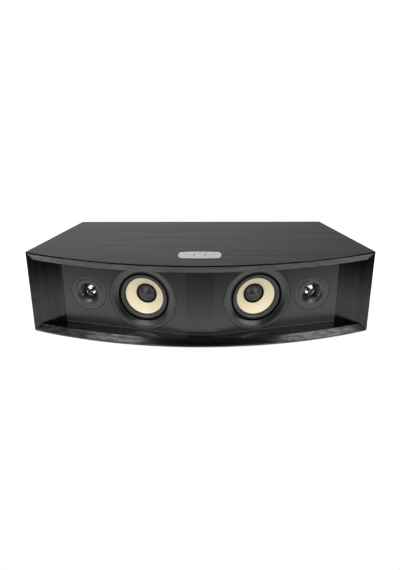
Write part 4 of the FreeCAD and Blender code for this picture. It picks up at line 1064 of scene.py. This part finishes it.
class SPEAKER_OT_touch_control(bpy.types.Operator):
    """Finish the touch plate, its panel and the marks in the panel"""

    bl_idname = "speaker.touch_control"
    bl_label = "Touch control"

    def execute(self, context):
        size = sizes()
        finish_node("touch_plate", "touch_rim", size.plate_ease)
        finish_node("touch_panel", "touch_face", size.fine_ease)
        low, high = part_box("touch_panel")
        middle = (low + high) / 2
        for side, sign in SIDES:
            bm = bmesh.new()
            bmesh.ops.create_cube(bm, size=1.0)
            spot = Matrix.Translation((sign * size.mark_reach, middle.y, middle.z - size.mark_sink))
            put(bm, spot @ Matrix.Diagonal((size.mark_width, size.mark_length, size.mark_depth, 1.0)))
            ease(bm, size.mark_ease)
            name = side + "_touch_mark"
            mesh = mesh_of(bm, name)
            mesh.materials.append(bpy.data.materials["touch_mark"])
            obj = linked(name, mesh)
            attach(obj, ROOT)
        return {"FINISHED"}


class SPEAKER_OT_back(bpy.types.Operator):
    """Finish the rear plate, its sockets and switch, the ports and the feet"""

    bl_idname = "speaker.back"
    bl_label = "Back and feet"

    def execute(self, context):
        width = sizes().metal_ease
        for node in ("rear_plate", "rear_plate_screws"):
            finish_node(node, "black_steel", width)
        for node in ("mains_inlet", "switch_housing", "power_rocker", "aux_jack"):
            finish_node(node, "socket_plastic", width)
        finish_node("inlet_pins", "contact_metal", width)
        finish_node("rubber_feet", "foot_rubber", sizes().foot_ease)
        for side, _ in SIDES:
            finish_node(side + "_port_tube", "port_plastic")
        return {"FINISHED"}


class SPEAKER_OT_stage(bpy.types.Operator):
    """Set the pale table, the soft lights, the white surroundings and the camera"""

    bl_idname = "speaker.stage"
    bl_label = "Stage"

    def execute(self, context):
        stage = bpy.context.scene.speaker_stage
        self.table(stage)
        self.lights(stage)
        self.surroundings(stage)
        self.camera(stage)
        bpy.context.scene.view_settings.view_transform = "Standard"
        return {"FINISHED"}

    def table(self, stage):
        """Pale table that glows where it is seen and falls into the dark at its front in reflections."""
        bm = bmesh.new()
        bmesh.ops.create_grid(bm, x_segments=1, y_segments=1, size=1.0)
        half = (stage.table_back - stage.table_front) / 2
        spot = Matrix.Translation((0, stage.table_front + half, 0))
        put(bm, spot @ Matrix.Diagonal((stage.table_half, half, 1.0, 1.0)))
        mesh = mesh_of(bm, "table")
        obj = linked("table", mesh)
        material = bpy.data.materials.new("pale_table")
        material.use_nodes = True
        tree = material.node_tree
        tree.nodes.remove(tree.nodes["Principled BSDF"])
        path = add(tree, "LightPath").outputs
        split = add(tree, "SeparateXYZ")
        wire(tree, own_coordinates(tree), split.inputs[0])
        fade = span(tree, split.outputs["Y"], stage.table_front, stage.table_front + stage.table_fade)
        lost = math_node(tree, "MULTIPLY", path["Is Glossy Ray"], math_node(tree, "SUBTRACT", 1.0, fade))
        tone = add(tree, "VectorMath", operation="SCALE")
        tone.inputs[0].default_value = colours().table
        wire(tree, math_node(tree, "SUBTRACT", 1.0, lost), tone.inputs["Scale"])
        matt = add(tree, "BsdfDiffuse")
        wire(tree, tone.outputs[0], matt.inputs["Color"])
        kept = math_node(tree, "MULTIPLY", path["Is Glossy Ray"], fade)
        sheen = math_node(tree, "MULTIPLY", kept, stage.sheen)
        white = add(tree, "Emission")
        added = math_node(tree, "MULTIPLY_ADD", path["Is Camera Ray"], stage.glow, sheen)
        wire(tree, added, white.inputs["Strength"])
        both = add(tree, "AddShader")
        wire(tree, matt.outputs[0], both.inputs[0])
        wire(tree, white.outputs[0], both.inputs[1])
        wire(tree, both.outputs[0], tree.nodes["Material Output"].inputs["Surface"])
        mesh.materials.append(material)

    def lights(self, stage):
        """Soft lamps, all turned towards the speaker."""
        for name, watts, spot, aim, width, height, tint, on_matt in LAMPS:
            data = bpy.data.lights.new(name, "AREA")
            data.shape = "RECTANGLE"
            data.size = width
            data.size_y = height
            data.energy = getattr(stage, watts)
            data.color = tint
            lamp = linked(name, data)
            lamp.visible_diffuse = on_matt
            lamp.location = spot
            beam = Vector((0, AIM, aim)) - Vector(spot)
            lamp.rotation_euler = beam.to_track_quat("-Z", "Y").to_euler()

    def surroundings(self, stage):
        """White where it is seen, a studio in reflections, and an even fill for the rest."""
        world = bpy.data.worlds.new("studio")
        bpy.context.scene.world = world
        world.use_nodes = True
        tree = world.node_tree
        tree.nodes.clear()
        split = add(tree, "SeparateXYZ")
        wire(tree, add(tree, "TexCoord").outputs["Generated"], split.inputs[0])
        rear = span(tree, split.outputs["Y"], *REAR_BAND, stage.shade, stage.backdrop)
        across = span(tree, split.outputs["X"], *ACROSS_BAND)
        high = span(tree, split.outputs["Z"], *HEIGHT_BAND)
        lit = math_node(tree, "MULTIPLY", math_node(tree, "MULTIPLY", rear, across), high)
        white = self.background(tree, WHITE)
        studio = self.background(tree, STUDIO_TINT)
        wire(tree, lit, studio.inputs["Strength"])
        fill = self.background(tree, WHITE, stage.fill)
        path = add(tree, "LightPath").outputs
        unseen = self.either(tree, path["Is Glossy Ray"], fill, studio)
        surface = self.either(tree, path["Is Camera Ray"], unseen, white)
        wire(tree, surface.outputs[0], add(tree, "OutputWorld").inputs["Surface"])

    def background(self, tree, rgb, strength=1.0):
        node = add(tree, "Background")
        node.inputs["Color"].default_value = (*rgb, 1)
        node.inputs["Strength"].default_value = strength
        return node

    def either(self, tree, chosen, first, second):
        """The first shader, or the second where it is chosen."""
        node = add(tree, "MixShader")
        wire(tree, chosen, node.inputs[0])
        wire(tree, first.outputs[0], node.inputs[1])
        wire(tree, second.outputs[0], node.inputs[2])
        return node

    def camera(self, stage):
        data = bpy.data.cameras.new("camera")
        data.sensor_width = SENSOR
        data.lens = stage.lens
        data.clip_start = NEAREST
        pitch = RIGHT_ANGLE - stage.camera_pitch
        turns = (("Z", stage.camera_yaw), ("X", pitch), ("Z", stage.camera_roll))
        matrix = Matrix.Translation(stage.camera_place)
        for axis, amount in turns:
            matrix = matrix @ Matrix.Rotation(amount, 4, axis)
        obj = linked("camera", data)
        obj.matrix_world = matrix
        bpy.context.scene.camera = obj


STEPS = (
    SPEAKER_OT_inner_works,
    SPEAKER_OT_cabinet,
    SPEAKER_OT_trim_rings,
    SPEAKER_OT_surrounds,
    SPEAKER_OT_cones,
    SPEAKER_OT_tweeters,
    SPEAKER_OT_touch_control,
    SPEAKER_OT_back,
    SPEAKER_OT_stage,
)


class SPEAKER_PT_sidebar(bpy.types.Panel):
    """Lists the steps and the values that they use"""

    bl_label = "Wireless speaker"
    bl_idname = "SPEAKER_PT_sidebar"
    bl_space_type = "VIEW_3D"
    bl_region_type = "UI"
    bl_category = "Speaker"

    def draw(self, context):
        for step in STEPS:
            self.layout.operator(step.bl_idname)
        for name, _ in GROUPS:
            group = getattr(context.scene, name)
            box = self.layout.box()
            for key in group.bl_rna.properties.keys():
                if key not in ("rna_type", "name"):
                    box.prop(group, key)


GROUPS = (
    ("speaker_sizes", SpeakerSizes),
    ("speaker_colours", SpeakerColours),
    ("speaker_stage", SpeakerStage),
)


def register():
    for name, group in GROUPS:
        bpy.utils.register_class(group)
        setattr(bpy.types.Scene, name, PointerProperty(type=group))
    for cls in (*STEPS, SPEAKER_PT_sidebar):
        bpy.utils.register_class(cls)


def unregister():
    for cls in (SPEAKER_PT_sidebar, *reversed(STEPS)):
        bpy.utils.unregister_class(cls)
    for name, group in reversed(GROUPS):
        delattr(bpy.types.Scene, name)
        bpy.utils.unregister_class(group)


def main():
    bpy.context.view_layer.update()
    register()
    for step in STEPS:
        area, name = step.bl_idname.split(".")
        getattr(getattr(bpy.ops, area), name)()


if __name__ == "__main__":
    main()
